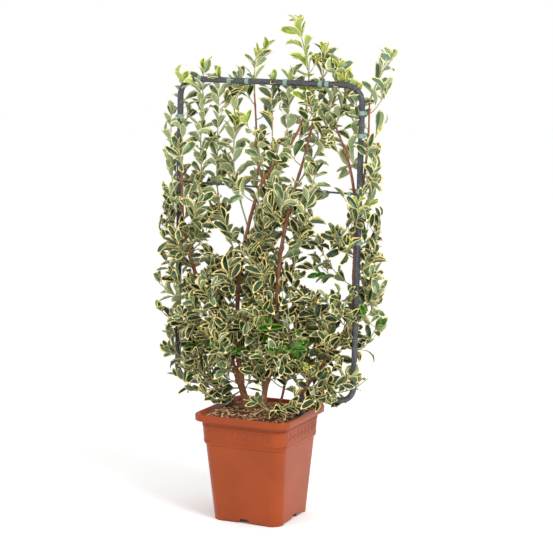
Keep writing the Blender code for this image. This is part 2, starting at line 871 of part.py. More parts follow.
def twig_mesh(points, radii):
    """A three-sided tapering twig along a path."""
    bm = bmesh.new()
    rings = []
    across = np.array(TWIG_FACING)
    for i, (point, radius) in enumerate(zip(points, radii)):
        along = unit(points[min(i + 1, len(points) - 1)] - points[max(i - 1, 0)])
        across = unit(across - along * np.dot(along, across))
        other = np.cross(along, across)
        ring = []
        for angle in (0.0, math.tau / 3, 2 * math.tau / 3):
            out = across * math.cos(angle) + other * math.sin(angle)
            ring.append(bm.verts.new(point + out * radius))
        rings.append(ring)
    loft(bm, rings)
    return bm


def leaf_mesh(base, way, upper, length):
    """A folded blade of eight faces whose foot is sunk in its twig."""
    bm = bmesh.new()
    bmesh.ops.create_uvsphere(bm, u_segments=4, v_segments=2, radius=1.0)
    side = np.cross(way, upper)
    half = length * LEAF_WIDTH_SHARE / 2
    thick = max(length * LEAF_THICK_SHARE / 2, length / 200)
    foot = base - way * LEAF_SUNK
    for vert in bm.verts:
        x, y, z = vert.co
        along = (length + LEAF_SUNK) * (0.5 + 0.5 * z + 0.05 * (1 - abs(z)))
        lift = thick * y + abs(x) * length * LEAF_FOLD_SHARE
        vert.co = Vector(foot + way * along + side * half * x + upper * lift)
    bmesh.ops.recalc_face_normals(bm, faces=bm.faces)
    return bm


def shells_of(bm):
    """The faces of each separate surface, the smallest surface first."""
    unseen = set(bm.faces)
    shells = []
    while unseen:
        shell = [unseen.pop()]
        for face in shell:
            near = {linked for edge in face.edges for linked in edge.link_faces}
            shell.extend(near & unseen)
            unseen -= near
        shells.append(shell)
    return sorted(shells, key=len)


def fault_in(bm):
    """A place where the surface is open, or pinched when near points merge, or None."""
    merged = bm.copy()
    bmesh.ops.remove_doubles(merged, verts=merged.verts, dist=PINCH)
    torn = [
        edge
        for surface in (bm, merged)
        for edge in surface.edges
        if not (edge.is_manifold and edge.is_contiguous)
    ]
    found = np.array(torn[0].verts[0].co) if torn else None
    merged.free()
    return found


def outer_surface(mesh):
    """Drops loose scraps and sealed hollows. Returns a place that isn't sound, or None."""
    bm = bmesh.new()
    bm.from_mesh(mesh)
    idle = [vert for vert in bm.verts if len(vert.link_edges) == 2]
    bmesh.ops.dissolve_verts(bm, verts=idle)
    bmesh.ops.triangulate(bm, faces=bm.faces)
    scraps = [face for shell in shells_of(bm)[:-1] for face in shell]
    bmesh.ops.delete(bm, geom=scraps, context="FACES")
    fault = fault_in(bm)
    bm.to_mesh(mesh)
    bm.free()
    return fault


def fused(stem, pieces, solver):
    """The union of the stem with its collection of pieces, and a fault in it or None."""
    union = stem.modifiers.new("union", "BOOLEAN")
    union.operation = "UNION"
    union.operand_type = "COLLECTION"
    union.collection = pieces
    union.solver = solver
    graph = bpy.context.evaluated_depsgraph_get()
    mesh = bpy.data.meshes.new_from_object(stem.evaluated_get(graph))
    stem.modifiers.clear()
    return mesh, outer_surface(mesh)


def distance_to(piece, point):
    """How far a piece's nearest corner is from a point."""
    return min(np.linalg.norm(np.array(vert.co) - point) for vert in piece.data.vertices)


def make_mass(foliage):
    """Fuses a mass's stem, twigs and leaves into one solid."""
    pieces = bpy.data.collections.new("pieces")
    bpy.context.scene.collection.children.link(pieces)
    path = foliage.path
    radii = np.linspace(TWIG_ROOT_RADIUS, TWIG_TIP_RADIUS, len(path))
    stem = mesh_object(foliage.name, twig_mesh(path, radii), "variegated_leaf")
    loose = []
    for sprig in foliage.twigs:
        twig = twig_mesh(sprig, (SPRIG_RADIUS, SPRIG_RADIUS * 0.7))
        loose.append(mesh_object("sprig", twig, "woody_stem", pieces))
    for leaf in foliage.leaves:
        loose.append(mesh_object("leaf", leaf_mesh(*leaf), "variegated_leaf", pieces))
    mesh, fault = fused(stem, pieces, "EXACT")
    if fault is not None:
        mesh, fault = fused(stem, pieces, "MANIFOLD")
    while fault is not None:
        nearest = min(loose, key=lambda piece: distance_to(piece, fault))
        loose.remove(nearest)
        bpy.data.objects.remove(nearest, do_unlink=True)
        mesh, fault = fused(stem, pieces, "EXACT")
    stem.data = mesh
    for piece in list(pieces.objects):
        bpy.data.objects.remove(piece, do_unlink=True)
    bpy.data.collections.remove(pieces)
    stem.data.materials.clear()
    stem.data.materials.append(material("variegated_leaf"))
    stem.data.transform(PANEL)


def make_foliage(limbs, frame):
    obstacles, tubes = Obstacles(), Obstacles()
    for route in limbs.values():
        obstacles.add(route[:, :3], route[:, 3])
    for name, route in frame.items():
        radius = BAR_RADIUS if name in BAR_HEIGHTS else TUBE_RADIUS
        tubes.add([np.array(point) for point in route], [radius] * len(route))
    obstacles.rows += tubes.rows
    habits = mass_habits()
    middles = {name: habit[0] for name, habit in habits.items()}
    paths = plan_branches(habits, limbs, obstacles, tubes)
    for number, (name, path) in enumerate(paths.items()):
        others = Obstacles()
        own = {tuple(point) for point in path}
        others.rows = [row for row in obstacles.rows if tuple(row[:3]) not in own]
        chance = random.Random(SEED * 1000 + number)
        foliage = Foliage(name, path, habits[name][2], middles, others, chance)
        foliage.grow()
        make_mass(foliage)


def main():
    clear_scene()
    limbs = limb_routes()
    frame = frame_routes()
    make_pot()
    make_compost()
    make_frame(frame)
    for name, route in limbs.items():
        make_limb(name, route)
    make_foliage(limbs, frame)


main()
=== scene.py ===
"""A variegated Japanese spindle trained on a tube frame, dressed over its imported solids.

Metres, +Z up, -Y the pot's front. The frame and what is tied to it are laid out in the panel's
own coordinates: U to the right along the frame, V out of its back, W up from the ground.
"""

import math
import random

import bmesh
import bpy
import numpy as np
from mathutils import Matrix, Vector


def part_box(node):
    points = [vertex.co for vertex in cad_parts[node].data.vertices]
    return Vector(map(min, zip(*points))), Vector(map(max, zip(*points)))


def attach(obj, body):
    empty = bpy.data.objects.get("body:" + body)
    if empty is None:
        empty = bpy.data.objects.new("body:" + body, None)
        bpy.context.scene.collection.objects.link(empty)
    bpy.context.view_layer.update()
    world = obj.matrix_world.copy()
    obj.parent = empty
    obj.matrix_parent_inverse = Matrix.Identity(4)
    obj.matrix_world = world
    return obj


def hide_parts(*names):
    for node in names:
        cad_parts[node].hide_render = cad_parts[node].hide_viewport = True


bl_info = {
    "name": "Spindle on a frame",
    "version": (1, 0, 0),
    "blender": (4, 5, 0),
    "location": "View3D > Sidebar > Spindle",
    "description": "Builds a potted variegated spindle trained on a tube frame",
    "category": "Add Mesh",
}

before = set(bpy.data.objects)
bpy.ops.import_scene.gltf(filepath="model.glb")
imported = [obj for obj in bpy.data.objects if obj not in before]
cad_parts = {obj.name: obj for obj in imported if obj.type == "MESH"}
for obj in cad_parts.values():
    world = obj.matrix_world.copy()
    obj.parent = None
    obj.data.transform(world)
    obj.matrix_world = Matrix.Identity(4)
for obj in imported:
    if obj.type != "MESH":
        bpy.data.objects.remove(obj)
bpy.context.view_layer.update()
MASSES = sorted(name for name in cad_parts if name.startswith("leaves_"))
POT_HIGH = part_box("pot")[1]

# Pot: half sides of the square outline, heights and the wall. FOOT_EDGE is (out, up) from the
# foot's lower edge, and LIP_INNER (in, down) from the rim's outer one.
POT_HEIGHT = POT_HIGH.z
FOOT_HALF = 0.1023
FOOT_EDGE = (0.0004, 0.0012)
BODY_TOP_HALF = 0.1202
STEP_Z = 0.214
COLLAR_Z = 0.217
COLLAR_FOOT_HALF = 0.1236
COLLAR_TOP_HALF = 0.1276
LIP_Z = 0.2804
LIP_ROLL = 0.0032
LIP_CORNER = 0.0009
LIP_INNER = ((0.0062, 0.0004), (0.0085, 0.0025))
WALL = 0.003
CORNER_RADIUS = 0.033
CORNER_STEPS = 10
SIDE_CUTS = 25

# The pot's lower edge: a notch in mid side, and a shallow rise from there to the corner feet.
NOTCH_HALF = 0.016
NOTCH_RISE = 0.012
EDGE_RISE = 0.004
BODY_ROWS = (NOTCH_RISE + 0.003, NOTCH_RISE + 0.009, STEP_Z - 0.003, STEP_Z)

# Fine ribs below and above the key pattern: their heights, and how far they stand out.
RIB_HEIGHTS = (0.2225, 0.2265, 0.2665, 0.2705)
RIB = 0.0009

# Key pattern: its repeat, heights and bar width. A stroke is (across, up) at both its ends, as
# shares of the repeat and of the height.
KEY_PITCH = 0.0235
KEY_LOW, KEY_HIGH = 0.2325, 0.2595
KEY_BAR = 0.0019
KEY_STROKES = (
    (0.00, 0.0, 1.00, 0.0),
    (0.00, 0.0, 0.00, 1.0),
    (0.00, 1.0, 0.74, 1.0),
    (0.74, 1.0, 0.74, 0.30),
    (0.74, 0.30, 0.36, 0.30),
    (0.36, 0.30, 0.36, 0.66),
)

# Compost: a level heap that falls over its outer share to the pot's wall. Lumps are waves of
# 20 to 33 mm, in radians a metre.
HEAP_CELLS = 60
HEAP_TOP = 0.2955
HEAP_DROP = 0.009
HEAP_EDGE = 0.3
HEAP_CORNER = 0.028
HEAP_GAP = 0.0006
LUMP = 0.0016
LUMP_WAVES = (310, 190, 270)
LUMP_CORNER = 0.03

# Bark chips: the height they lie at, and the least and most of what varies.
CHIP_BED = 0.2968
CHIP_SPREAD = 0.97
CHIP_CORNER = 0.02
CHIP_LIFT = (-0.001, 0.0015)
CHIP_SIZES = ((0.007, 0.024), (0.003, 0.009), (0.0015, 0.0045))
CHIP_LEANS = (("X", 0.5), ("Y", 0.4))
CHIP_CRUMPLE = 0.14
CHIP_SHARES = (3, 5, 5)

# Panel: the frame's plane, leaning a few degrees about the middle of the pot's rim.
PANEL_SHIFT = (0.005, 0.0025)
PANEL_LEAN = (1.4, 2.0)
PANEL = (
    Matrix.Translation((*PANEL_SHIFT, POT_HEIGHT))
    @ Matrix.Rotation(math.radians(PANEL_LEAN[0]), 4, "X")
    @ Matrix.Rotation(math.radians(PANEL_LEAN[1]), 4, "Y")
    @ Matrix.Translation((0.0, 0.0, -POT_HEIGHT))
)

# Frame: one bent tube, and two thin bars welded across it.
TUBE_RADIUS = 0.008
FRAME_HALF = 0.268
FRAME_TOP = 1.194
TOP_BEND = 0.048
FOOT_BEND = 0.040
LEG_RUN_W = 0.353
LEG_PLACES = (-0.107, 0.110)
LEG_BEND = 0.035
LEG_END_W = 0.235
BAR_RADIUS = 0.0027
BAR_HEIGHTS = (0.912, 0.608)
BAR_HALF = FRAME_HALF - 0.002
WELD_SPAN = (0.0125, 0.004)
WELD_RADII = (0.0032, 0.0052)

# Limbs as in the solids: guide points (U, V, W, radius).
GROUND = 0.2943
STEMS = {
    "stem_left": (
        (-0.047, 0.000, GROUND, 0.0112),
        (-0.061, -0.006, 0.350, 0.0094),
        (-0.093, -0.013, 0.428, 0.0074),
        (-0.143, -0.014, 0.535, 0.0065),
        (-0.184, -0.013, 0.605, 0.0060),
        (-0.217, -0.016, 0.690, 0.0053),
        (-0.243, -0.019, 0.780, 0.0046),
        (-0.249, -0.019, 0.880, 0.0040),
        (-0.252, -0.018, 0.965, 0.0033),
    ),
    "stem_middle": (
        (0.002, 0.000, GROUND, 0.0090),
        (0.008, -0.004, 0.352, 0.0076),
        (0.029, -0.009, 0.435, 0.0068),
        (0.040, -0.010, 0.560, 0.0061),
        (0.046, -0.011, 0.709, 0.0054),
        (0.068, -0.010, 0.845, 0.0046),
        (0.085, -0.008, 0.915, 0.0042),
        (0.107, 0.002, 1.000, 0.0036),
        (0.128, 0.014, 1.110, 0.0028),
    ),
    "stem_right": (
        (0.062, 0.010, GROUND, 0.0086),
        (0.100, 0.015, 0.343, 0.0076),
        (0.157, 0.017, 0.428, 0.0067),
        (0.208, 0.018, 0.500, 0.0060),
        (0.246, 0.018, 0.585, 0.0054),
        (0.253, 0.017, 0.720, 0.0048),
        (0.248, 0.015, 0.900, 0.0040),
        (0.226, 0.011, 1.005, 0.0034),
        (0.190, 0.012, 1.085, 0.0026),
    ),
    "stem_thin": (
        (0.034, 0.030, GROUND, 0.0042),
        (0.050, 0.026, 0.350, 0.0034),
        (0.060, 0.022, 0.430, 0.0030),
        (0.062, 0.020, 0.520, 0.0024),
    ),
    "stem_low_left": (
        (-0.092, 0.012, GROUND, 0.0044),
        (-0.108, 0.016, 0.325, 0.0036),
        (-0.150, 0.020, 0.372, 0.0030),
        (-0.190, 0.024, 0.400, 0.0024),
    ),
    "stem_low_right": (
        (0.058, -0.042, GROUND, 0.0036),
        (0.066, -0.052, 0.312, 0.0030),
        (0.080, -0.068, 0.338, 0.0022),
    ),
    "bough_left_inner": (
        (-0.060, -0.006, 0.366, 0.0070),
        (-0.074, -0.010, 0.445, 0.0066),
        (-0.077, -0.011, 0.530, 0.0062),
        (-0.075, -0.011, 0.640, 0.0057),
        (-0.062, -0.011, 0.735, 0.0053),
        (-0.040, -0.010, 0.840, 0.0048),
        (-0.010, -0.009, 0.926, 0.0043),
        (0.046, -0.005, 1.001, 0.0037),
        (0.084, 0.006, 1.066, 0.0032),
        (0.103, 0.014, 1.124, 0.0028),
    ),
    "bough_upper_left": (
        (-0.009, -0.008, 0.930, 0.0034),
        (-0.036, 0.006, 0.995, 0.0030),
        (-0.043, 0.014, 1.080, 0.0026),
        (-0.050, 0.015, 1.160, 0.0021),
    ),
    "bough_right_outer": (
        (0.249, 0.016, 0.885, 0.0034),
        (0.268, 0.026, 0.950, 0.0030),
        (0.279, 0.022, 1.060, 0.0027),
        (0.281, 0.018, 1.150, 0.0022),
    ),
}

# Crown outline: height W, left edge, right edge, depth in front, depth behind.
OUTLINE = np.array((
    (0.300, -0.130, 0.150, 0.115, 0.115),
    (0.335, -0.255, 0.250, 0.130, 0.130),
    (0.380, -0.300, 0.300, 0.140, 0.140),
    (0.480, -0.325, 0.345, 0.140, 0.140),
    (0.600, -0.345, 0.362, 0.135, 0.135),
    (0.720, -0.335, 0.355, 0.120, 0.120),
    (0.860, -0.315, 0.330, 0.095, 0.095),
    (1.020, -0.322, 0.326, 0.085, 0.085),
    (1.150, -0.315, 0.345, 0.080, 0.080),
    (1.230, -0.280, 0.362, 0.070, 0.070),
    (1.290, -0.060, 0.362, 0.060, 0.060),
    (1.372, 0.035, 0.125, 0.050, 0.050),
))

# Lines of sight: for each metre that a point stands behind the panel, it is seen this far to
# the right and up. Windows stay open along them: U, W and half sizes, with ragged edges.
SIGHT_U = 0.47
SIGHT_W = 0.15
WINDOWS = (
    (-0.075, 0.830, 0.034, 0.045),
    (0.155, 0.860, 0.030, 0.034),
    (-0.140, 0.745, 0.038, 0.040),
    (0.222, 0.850, 0.022, 0.040),
    (0.236, 0.640, 0.016, 0.034),
    (0.030, 1.080, 0.018, 0.050),
    (0.195, 0.990, 0.020, 0.030),
    (0.090, 0.940, 0.020, 0.026),
)
RAGGED_MEAN, RAGGED_SWING = 0.72, 0.34
RAGGED_WAVES = (170, 90, 150, 60)

# Long young shoots as (U, V, W) from foot to tip; they carry the upper crown.
SHOOTS = (
    ((-0.252, -0.018, 0.965), (-0.262, 0.004, 1.080), (-0.268, 0.016, 1.175)),
    ((-0.247, -0.019, 0.820), (-0.290, -0.006, 0.930), (-0.300, 0.006, 1.090)),
    ((-0.226, -0.017, 0.720), (-0.205, 0.010, 0.860), (-0.212, 0.016, 1.020), (-0.206, 0.016, 1.215)),
    ((-0.072, -0.011, 0.690), (-0.150, 0.012, 0.860), (-0.160, 0.016, 1.020), (-0.157, 0.016, 1.195)),
    ((-0.050, -0.010, 0.800), (-0.105, 0.016, 0.930), (-0.110, 0.018, 1.060), (-0.100, 0.016, 1.190)),
    ((-0.050, 0.015, 1.155), (-0.052, 0.017, 1.215), (-0.046, 0.012, 1.255)),
    ((0.020, -0.007, 0.960), (0.006, 0.014, 1.050), (0.002, 0.016, 1.190)),
    ((0.046, -0.005, 1.000), (0.050, 0.014, 1.080), (0.052, 0.016, 1.200)),
    ((0.103, 0.014, 1.120), (0.107, 0.018, 1.210), (0.090, 0.012, 1.300), (0.070, 0.006, 1.358)),
    ((0.128, 0.014, 1.105), (0.145, 0.018, 1.190), (0.152, 0.014, 1.270)),
    ((0.085, -0.008, 0.915), (0.125, 0.014, 0.990), (0.160, 0.018, 1.080), (0.188, 0.018, 1.230)),
    ((0.190, 0.012, 1.085), (0.205, 0.018, 1.140), (0.215, 0.018, 1.190)),
    ((0.226, 0.011, 1.005), (0.240, 0.022, 1.080), (0.243, 0.020, 1.170)),
    ((0.281, 0.018, 1.150), (0.290, 0.018, 1.180), (0.318, 0.014, 1.235), (0.345, 0.008, 1.265)),
    ((0.251, 0.016, 0.830), (0.292, 0.020, 0.900), (0.304, 0.018, 1.010)),
    ((0.254, 0.017, 0.700), (0.300, 0.020, 0.740), (0.320, 0.016, 0.850)),
    ((0.060, -0.011, 0.800), (0.120, -0.030, 0.850), (0.150, -0.020, 0.960)),
    ((0.046, -0.011, 0.709), (0.090, 0.020, 0.780), (0.104, 0.024, 0.890)),
    ((-0.075, -0.011, 0.640), (-0.010, 0.018, 0.730), (0.010, 0.020, 0.860), (0.000, 0.020, 0.940)),
    ((-0.209, -0.015, 0.670), (-0.270, -0.020, 0.740), (-0.300, -0.012, 0.850)),
    ((-0.061, -0.006, 0.352), (-0.120, -0.050, 0.352), (-0.170, -0.070, 0.345), (-0.215, -0.080, 0.378)),
    ((-0.093, -0.013, 0.428), (-0.180, -0.030, 0.412), (-0.245, -0.030, 0.425), (-0.282, -0.020, 0.470)),
    ((-0.190, 0.024, 0.400), (-0.235, 0.022, 0.392), (-0.275, 0.014, 0.420)),
    ((-0.108, 0.016, 0.325), (-0.170, 0.034, 0.332), (-0.220, 0.034, 0.352)),
    ((-0.061, -0.006, 0.346), (-0.085, -0.050, 0.328), (-0.104, -0.085, 0.332), (-0.120, -0.100, 0.350)),
    ((0.157, 0.017, 0.428), (0.200, -0.022, 0.400), (0.235, -0.034, 0.402), (0.272, -0.030, 0.430)),
    ((0.125, 0.016, 0.375), (0.145, -0.022, 0.380), (0.185, -0.042, 0.352), (0.214, -0.050, 0.358)),
    ((0.125, 0.016, 0.375), (0.195, 0.040, 0.362), (0.245, 0.050, 0.375), (0.290, 0.048, 0.410)),
    ((0.080, -0.068, 0.338), (0.102, -0.085, 0.333), (0.128, -0.095, 0.345)),
    ((0.064, -0.050, 0.308), (0.085, -0.078, 0.316), (0.100, -0.098, 0.320)),
    ((0.062, -0.046, 0.304), (0.036, -0.066, 0.322), (0.026, -0.082, 0.338)),
    ((0.100, 0.015, 0.343), (0.150, 0.034, 0.335), (0.188, 0.034, 0.328)),
    ((-0.184, -0.013, 0.605), (-0.255, -0.025, 0.592), (-0.318, -0.018, 0.622)),
    ((-0.143, -0.014, 0.535), (-0.225, -0.035, 0.512), (-0.302, -0.026, 0.542)),
    ((0.246, 0.018, 0.585), (0.292, 0.028, 0.588), (0.326, 0.018, 0.655)),
    ((0.208, 0.018, 0.500), (0.272, 0.036, 0.492), (0.318, 0.026, 0.556)),
)

# Stretches of stem that stay bare to the front: U, W at both ends, on the lines of sight.
BARE = np.array((
    (-0.200, 0.620, -0.236, 0.730),
    (-0.083, 0.560, -0.080, 0.640),
    (-0.062, 0.770, -0.035, 0.875),
    (0.034, 0.600, 0.043, 0.740),
    (0.046, 0.760, 0.064, 0.845),
    (0.255, 0.920, 0.205, 1.065),
    (-0.090, 0.440, -0.062, 0.340),
    (0.026, 0.420, 0.008, 0.345),
    (0.155, 0.405, 0.110, 0.345),
))
BARE_HALF = 0.0060
BARE_BEHIND_V = 0.010

# Soft ties round the tube: U, W. Each has a tail that takes a shoot.
TIES = (
    (-0.208, FRAME_TOP), (-0.117, FRAME_TOP), (-0.064, FRAME_TOP), (0.049, FRAME_TOP),
    (0.150, FRAME_TOP), (0.169, FRAME_TOP), (FRAME_HALF, 1.124), (FRAME_HALF, 1.065),
    (FRAME_HALF, 0.921), (FRAME_HALF, 0.784), (-FRAME_HALF, 1.091), (-FRAME_HALF, 0.976),
)
TIE_RADIUS = 0.0094
TAIL_RADIUS = 0.0042
TAIL_BEHIND = TIE_RADIUS + 0.006
TAIL_BESIDE = TIE_RADIUS + 0.004

# Ties round the middle bar's crossings: U, and their own sizes.
BAR_TIES = (-0.220, -0.109, 0.059, 0.078, 0.170, 0.241)
BAR_TIE_HALF = 0.004
BAR_TIE_V = -0.001
BAR_TIE_RADIUS = 0.0052

# Bark: how a stem flares at the compost, and how many knots swell a limb, how much and how far.
FLARE = 0.35
FLARE_HEIGHT = 0.014
KNOT_SHARE = 0.08
KNOT_SWELL = (0.08, 0.22)
KNOT_REACH = 1.6

# Twigs: how far apart they leave a limb, their length, and how a twig bends, tapers and forks.
# Below DENSE_BELOW_W they stand closer, and above OPEN_ABOVE_W wider and paler.
SEED = 23
OPEN_ABOVE_W = 0.86
DENSE_BELOW_W = 0.62
CLOSE_STEP, WIDE_STEP = 0.7, 1.6
TWIG_STEP = 0.021
TWIG_LENGTH = (0.070, 0.150)
TWIG_RADIUS = 0.0017
TWIG_FROM_W = 0.335
TWIG_CUTS = (1.0, 0.75, 0.5, 0.35)
TWIG_JOINTS = 6
TWIG_RISE = 0.16
TWIG_WANDER = 0.08
TWIG_TAPER = 0.6
TWIG_TURN = 2.4
TWIG_BARE = 0.012
HIGH_TWIG = 0.6
FORK_JOINTS = (2, 4)
FORK_CHANCE = 0.6
FORK_ALONG, FORK_LENGTH, FORK_RADIUS = 0.6, 0.5, 0.7
TWIG_ALONG, TWIG_LIFT = 0.35, 0.3

# Shoots: radius at foot and tip, the bare foot, and the short twigs beside them.
SHOOT_RADII = (0.0024, 0.0012)
SHOOT_BARE = 0.01
SHOOT_LEAF_STEP = 0.0195
SPUR_STEP = 0.062
SPUR_LENGTH = (0.026, 0.052)
SPUR_RADIUS = 0.0012

# Leaves: the step between pairs, how far they spread from the twig and keep off the tubes, and
# how strongly they turn to the light, low down and high up. Sides are counted from SET_OFF.
LEAF_STEP = 0.0200
LEAF_LOWEST_W = 0.3035
LEAF_TRIES = 3
LEAF_SPREAD, TIP_SPREAD, CROSSED_SPREAD = 55, 32, 22
LEAF_SWING = 25
LEAF_TURN = 0.5
LEAF_ROLL = 0.95
LEAF_CLEAR = 0.0030
LEAF_MARKS, LEAF_SIDE_MARK = (0.35, 0.7, 1.0), 0.2
PAIR_SWING = 0.2
TIP_SCALE, HIGH_SCALE = 0.8, 1.12
TO_LIGHT = np.array((0.25, -0.60, 0.76))
LEAF_SET_OFF, TWIG_SET_OFF = (0.31, 0.95, 0.1), (0.2, 0.9, 0.3)
LIT_LOW, LIT_HIGH = 0.65, 0.30
YOUNG_ABOVE_W = 1.15
YOUNG_SHARE = 0.6
LEAF_PIECES = 4

# One leaf of unit length: stations along it with their half widths, and the fold, arch and
# margin of each shape.
LEAF_STATIONS = (-0.10, 0.04, 0.28, 0.60, 0.88, 1.0)
LEAF_WIDTHS = (0.018, 0.045, 0.200, 0.228, 0.120, 0.012)
LEAF_SHAPES = (
    (0.25, 0.30, 0.82),
    (0.50, -0.15, 0.74),
    (0.75, 0.55, 0.80),
    (1.0, 0.15, 0.70),
    (0.40, 0.85, 0.86),
    (0.62, 0.05, 0.77),
)
LEAF_THICK = 0.015
LEAF_WAVE = 0.012
LEAF_BULGE = 0.02
LEAF_STALK = 0.10
MARGIN_FROM, TIP_FROM = 0.03, 0.85

# Camera: a lens of 1500 pixels in a frame 553 pixels wide.
CAMERA_PLACE = (1.7734, -3.6408, 1.2185)
CAMERA_TURN = 0.4424
CAMERA_DIP = 0.1353
SENSOR = 36.0
CAMERA_LENS = SENSOR * 1500 / 553

# Stage: a wide floor, a large soft light on the right and a weak one on the left.
FLOOR_HALF = 30.0
LIGHT_AIM = (0.0, 0.0, 0.7)
KEY_PLACE, KEY_SIZE = (3.2, -1.6, 2.8), 1.6
FILL_PLACE, FILL_SIZE, FILL_SHARE = (-2.4, -3.4, 2.2), 2.4, 0.12


def colour_of(value):
    """Linear colour of an sRGB hex value. A colour from the settings is linear already."""
    if not isinstance(value, str):
        return tuple(value)
    parts = [int(value[i : i + 2], 16) / 255 for i in (1, 3, 5)]
    linear = [c / 12.92 if c <= 0.04045 else ((c + 0.055) / 1.055) ** 2.4 for c in parts]
    return (*linear, 1.0)


def add(tree, kind, settings=None, links=None):
    """Adds a shader node with its settings, and links its inputs to other nodes' outputs."""
    made = tree.nodes.new(kind)
    for key, value in (settings or {}).items():
        if key in made.inputs:
            made.inputs[key].default_value = value
        else:
            setattr(made, key, value)
    for key, source in (links or {}).items():
        tree.links.new(source, made.inputs[key])
    return made


def surface(name, colour, roughness, **sockets):
    """A Principled material with plain sockets. Returns the material, its tree and its shader."""
    made = bpy.data.materials.new(name)
    made.use_nodes = True
    shader = made.node_tree.nodes["Principled BSDF"]
    shader.inputs["Base Color"].default_value = colour_of(colour)
    shader.inputs["Roughness"].default_value = roughness
    for key, value in sockets.items():
        shader.inputs[key.replace("_", " ")].default_value = value
    return made, made.node_tree, shader


def patches(count, millimetres):
    """A texture's scale for this many patches in this many millimetres."""
    return count * 1000 / millimetres


def roughen(tree, shader, scale, depth, detail=3.0, strength=1.0, stretch=None):
    """Relief to this depth in metres. Returns the noise it follows, from 0 to 1."""
    where = add(tree, "ShaderNodeTexCoord").outputs["Object"]
    if stretch:
        where = add(tree, "ShaderNodeMapping", {"Scale": stretch}, {"Vector": where}).outputs["Vector"]
    noise = add(tree, "ShaderNodeTexNoise", {"Scale": scale, "Detail": detail}, {"Vector": where})
    bump = add(
        tree,
        "ShaderNodeBump",
        {"Distance": depth, "Strength": strength},
        {"Height": noise.outputs["Fac"]},
    )
    tree.links.new(bump.outputs["Normal"], shader.inputs["Normal"])
    return noise.outputs["Fac"]


def tint(tree, shader, factor, *stops):
    """Colours the shader by a ramp of (place, colour) stops."""
    ramp = add(tree, "ShaderNodeValToRGB", {}, {"Fac": factor})
    for element, (at, colour) in zip(ramp.color_ramp.elements, (stops[0], stops[-1])):
        element.position = at
        element.color = colour_of(colour)
    for at, colour in stops[1:-1]:
        ramp.color_ramp.elements.new(at).color = colour_of(colour)
    tree.links.new(ramp.outputs["Color"], shader.inputs["Base Color"])


def moulded_polypropylene(dark, light):
    """Injection-moulded polypropylene: an even terracotta orange with a satin sheen.

    The mould's fine texture is drawn 1.1 mm across, as fine as shows, under faint cloudy patches.
    """
    made, tree, shader = surface("moulded_polypropylene", "#943D10", 0.34, IOR=1.49, Specular_IOR_Level=0.3)
    roughen(tree, shader, patches(9, 10), 0.00006, 2.0)
    place = add(tree, "ShaderNodeTexCoord")
    cloud = add(
        tree,
        "ShaderNodeTexNoise",
        {"Scale": patches(9, 1000), "Detail": 2.0},
        {"Vector": place.outputs["Object"]},
    )
    tint(tree, shader, cloud.outputs["Fac"], (0.3, dark), (0.7, light))
    return made


def bark_mulch(name, dark, light):
    """Composted bark: matt, with fibres 2.4 mm wide, near black where wet and tan where split."""
    made, tree, shader = surface(name, light, 0.92)
    fibre = roughen(tree, shader, patches(21, 50), 0.0006, 5.0)
    tint(tree, shader, fibre, (0.32, dark), (0.68, light))
    return made


def hammered_coating(colour):
    """Powder-coated steel with pale flecks 4 mm wide, so the dark tube glints unevenly."""
    made, tree, shader = surface("powder_coated_steel", "#55565B", 0.45, Metallic=0.2)
    fleck = roughen(tree, shader, patches(13, 50), 0.0003, 4.0, 0.6)
    tint(tree, shader, fleck, (0.40, "#3A3B3F"), (0.58, colour), (0.74, "#77797C"))
    return made


def woody_bark(colour):
    """Mature stem bark: brown, with grey fissures 1.6 mm wide and drawn out along the stem."""
    made, tree, shader = surface("fissured_bark", "#7A4A36", 0.85)
    grain = roughen(tree, shader, patches(31, 50), 0.0008, 5.0, 0.9, (1.0, 1.0, 0.18))
    tint(tree, shader, grain, (0.30, "#5A3424"), (0.50, colour), (0.70, "#B4866A"))
    return made


def young_bark():
    """Young shoots: smooth yellow-green skin, a little waxy, in patches of 2 mm."""
    made, tree, shader = surface("green_shoot_skin", "#A3A763", 0.55)
    patch = roughen(tree, shader, patches(1, 2), 0.0002)
    tint(tree, shader, patch, (0.3, "#8A8F50"), (0.7, "#B4B575"))
    return made


def tie_vinyl(colour):
    """Soft tubular vinyl: a dull gloss over creases 1.4 mm apart."""
    made, tree, shader = surface("soft_vinyl_tie", colour, 0.5)
    roughen(tree, shader, patches(7, 10), 0.0001)
    return made


# Leaf colours, dealt out by spray, and each tone's share of the sprays low down and high up. The deep tone
# is partly the leaves' own dark green and partly painted shade: its underside is darker than a leaf's pale
# underside, and its large share low down paints shade into the lower crown's pockets.
LEAF_PARTS = ("margin", "blade", "streak", "back", "back_margin")
LEAF_TONES = {
    "deep": ("#EBD58C", "#1F3420", "#3E5A3B", "#5C7050", "#CFC182"),
    "mid": ("#EFD98C", "#2C4A2B", "#55734E", "#74885E", "#E4D694"),
    "grey": ("#EEDFA2", "#5A7453", "#8AA27A", "#98A87C", "#EADFA6"),
    "young": ("#E6DC72", "#748F38", "#9CB450", "#A8BA68", "#E2DC82"),
    "vivid": ("#7FA036", "#23560F", "#447A24", "#6A8C42", "#90A850"),
}
SHARES_LOW = (0.44, 0.33, 0.19, 0.01, 0.03)
SHARES_HIGH = (0.12, 0.30, 0.52, 0.05, 0.01)
MARGIN, BLADE, STREAK, BACK, BACK_MARGIN = range(len(LEAF_PARTS))


def leaf_skin(tone, part, colour):
    """Waxy leaf skin, glossy above and duller below, with veins 2.6 mm apart."""
    rough = 0.55 if part.startswith("back") else 0.36
    made, tree, shader = surface(f"leaf_{tone}_{part}", colour, rough, IOR=1.45)
    roughen(tree, shader, patches(19, 50), 0.0003, 2.0)
    return made


def finish_mesh(name, bm, materials, smooth=True, angle=40):
    """Turns a bmesh into a piece that rides on the root body."""
    mesh = bpy.data.meshes.new(name)
    bm.to_mesh(mesh)
    bm.free()
    return finish_piece(name, mesh, materials, smooth, angle)


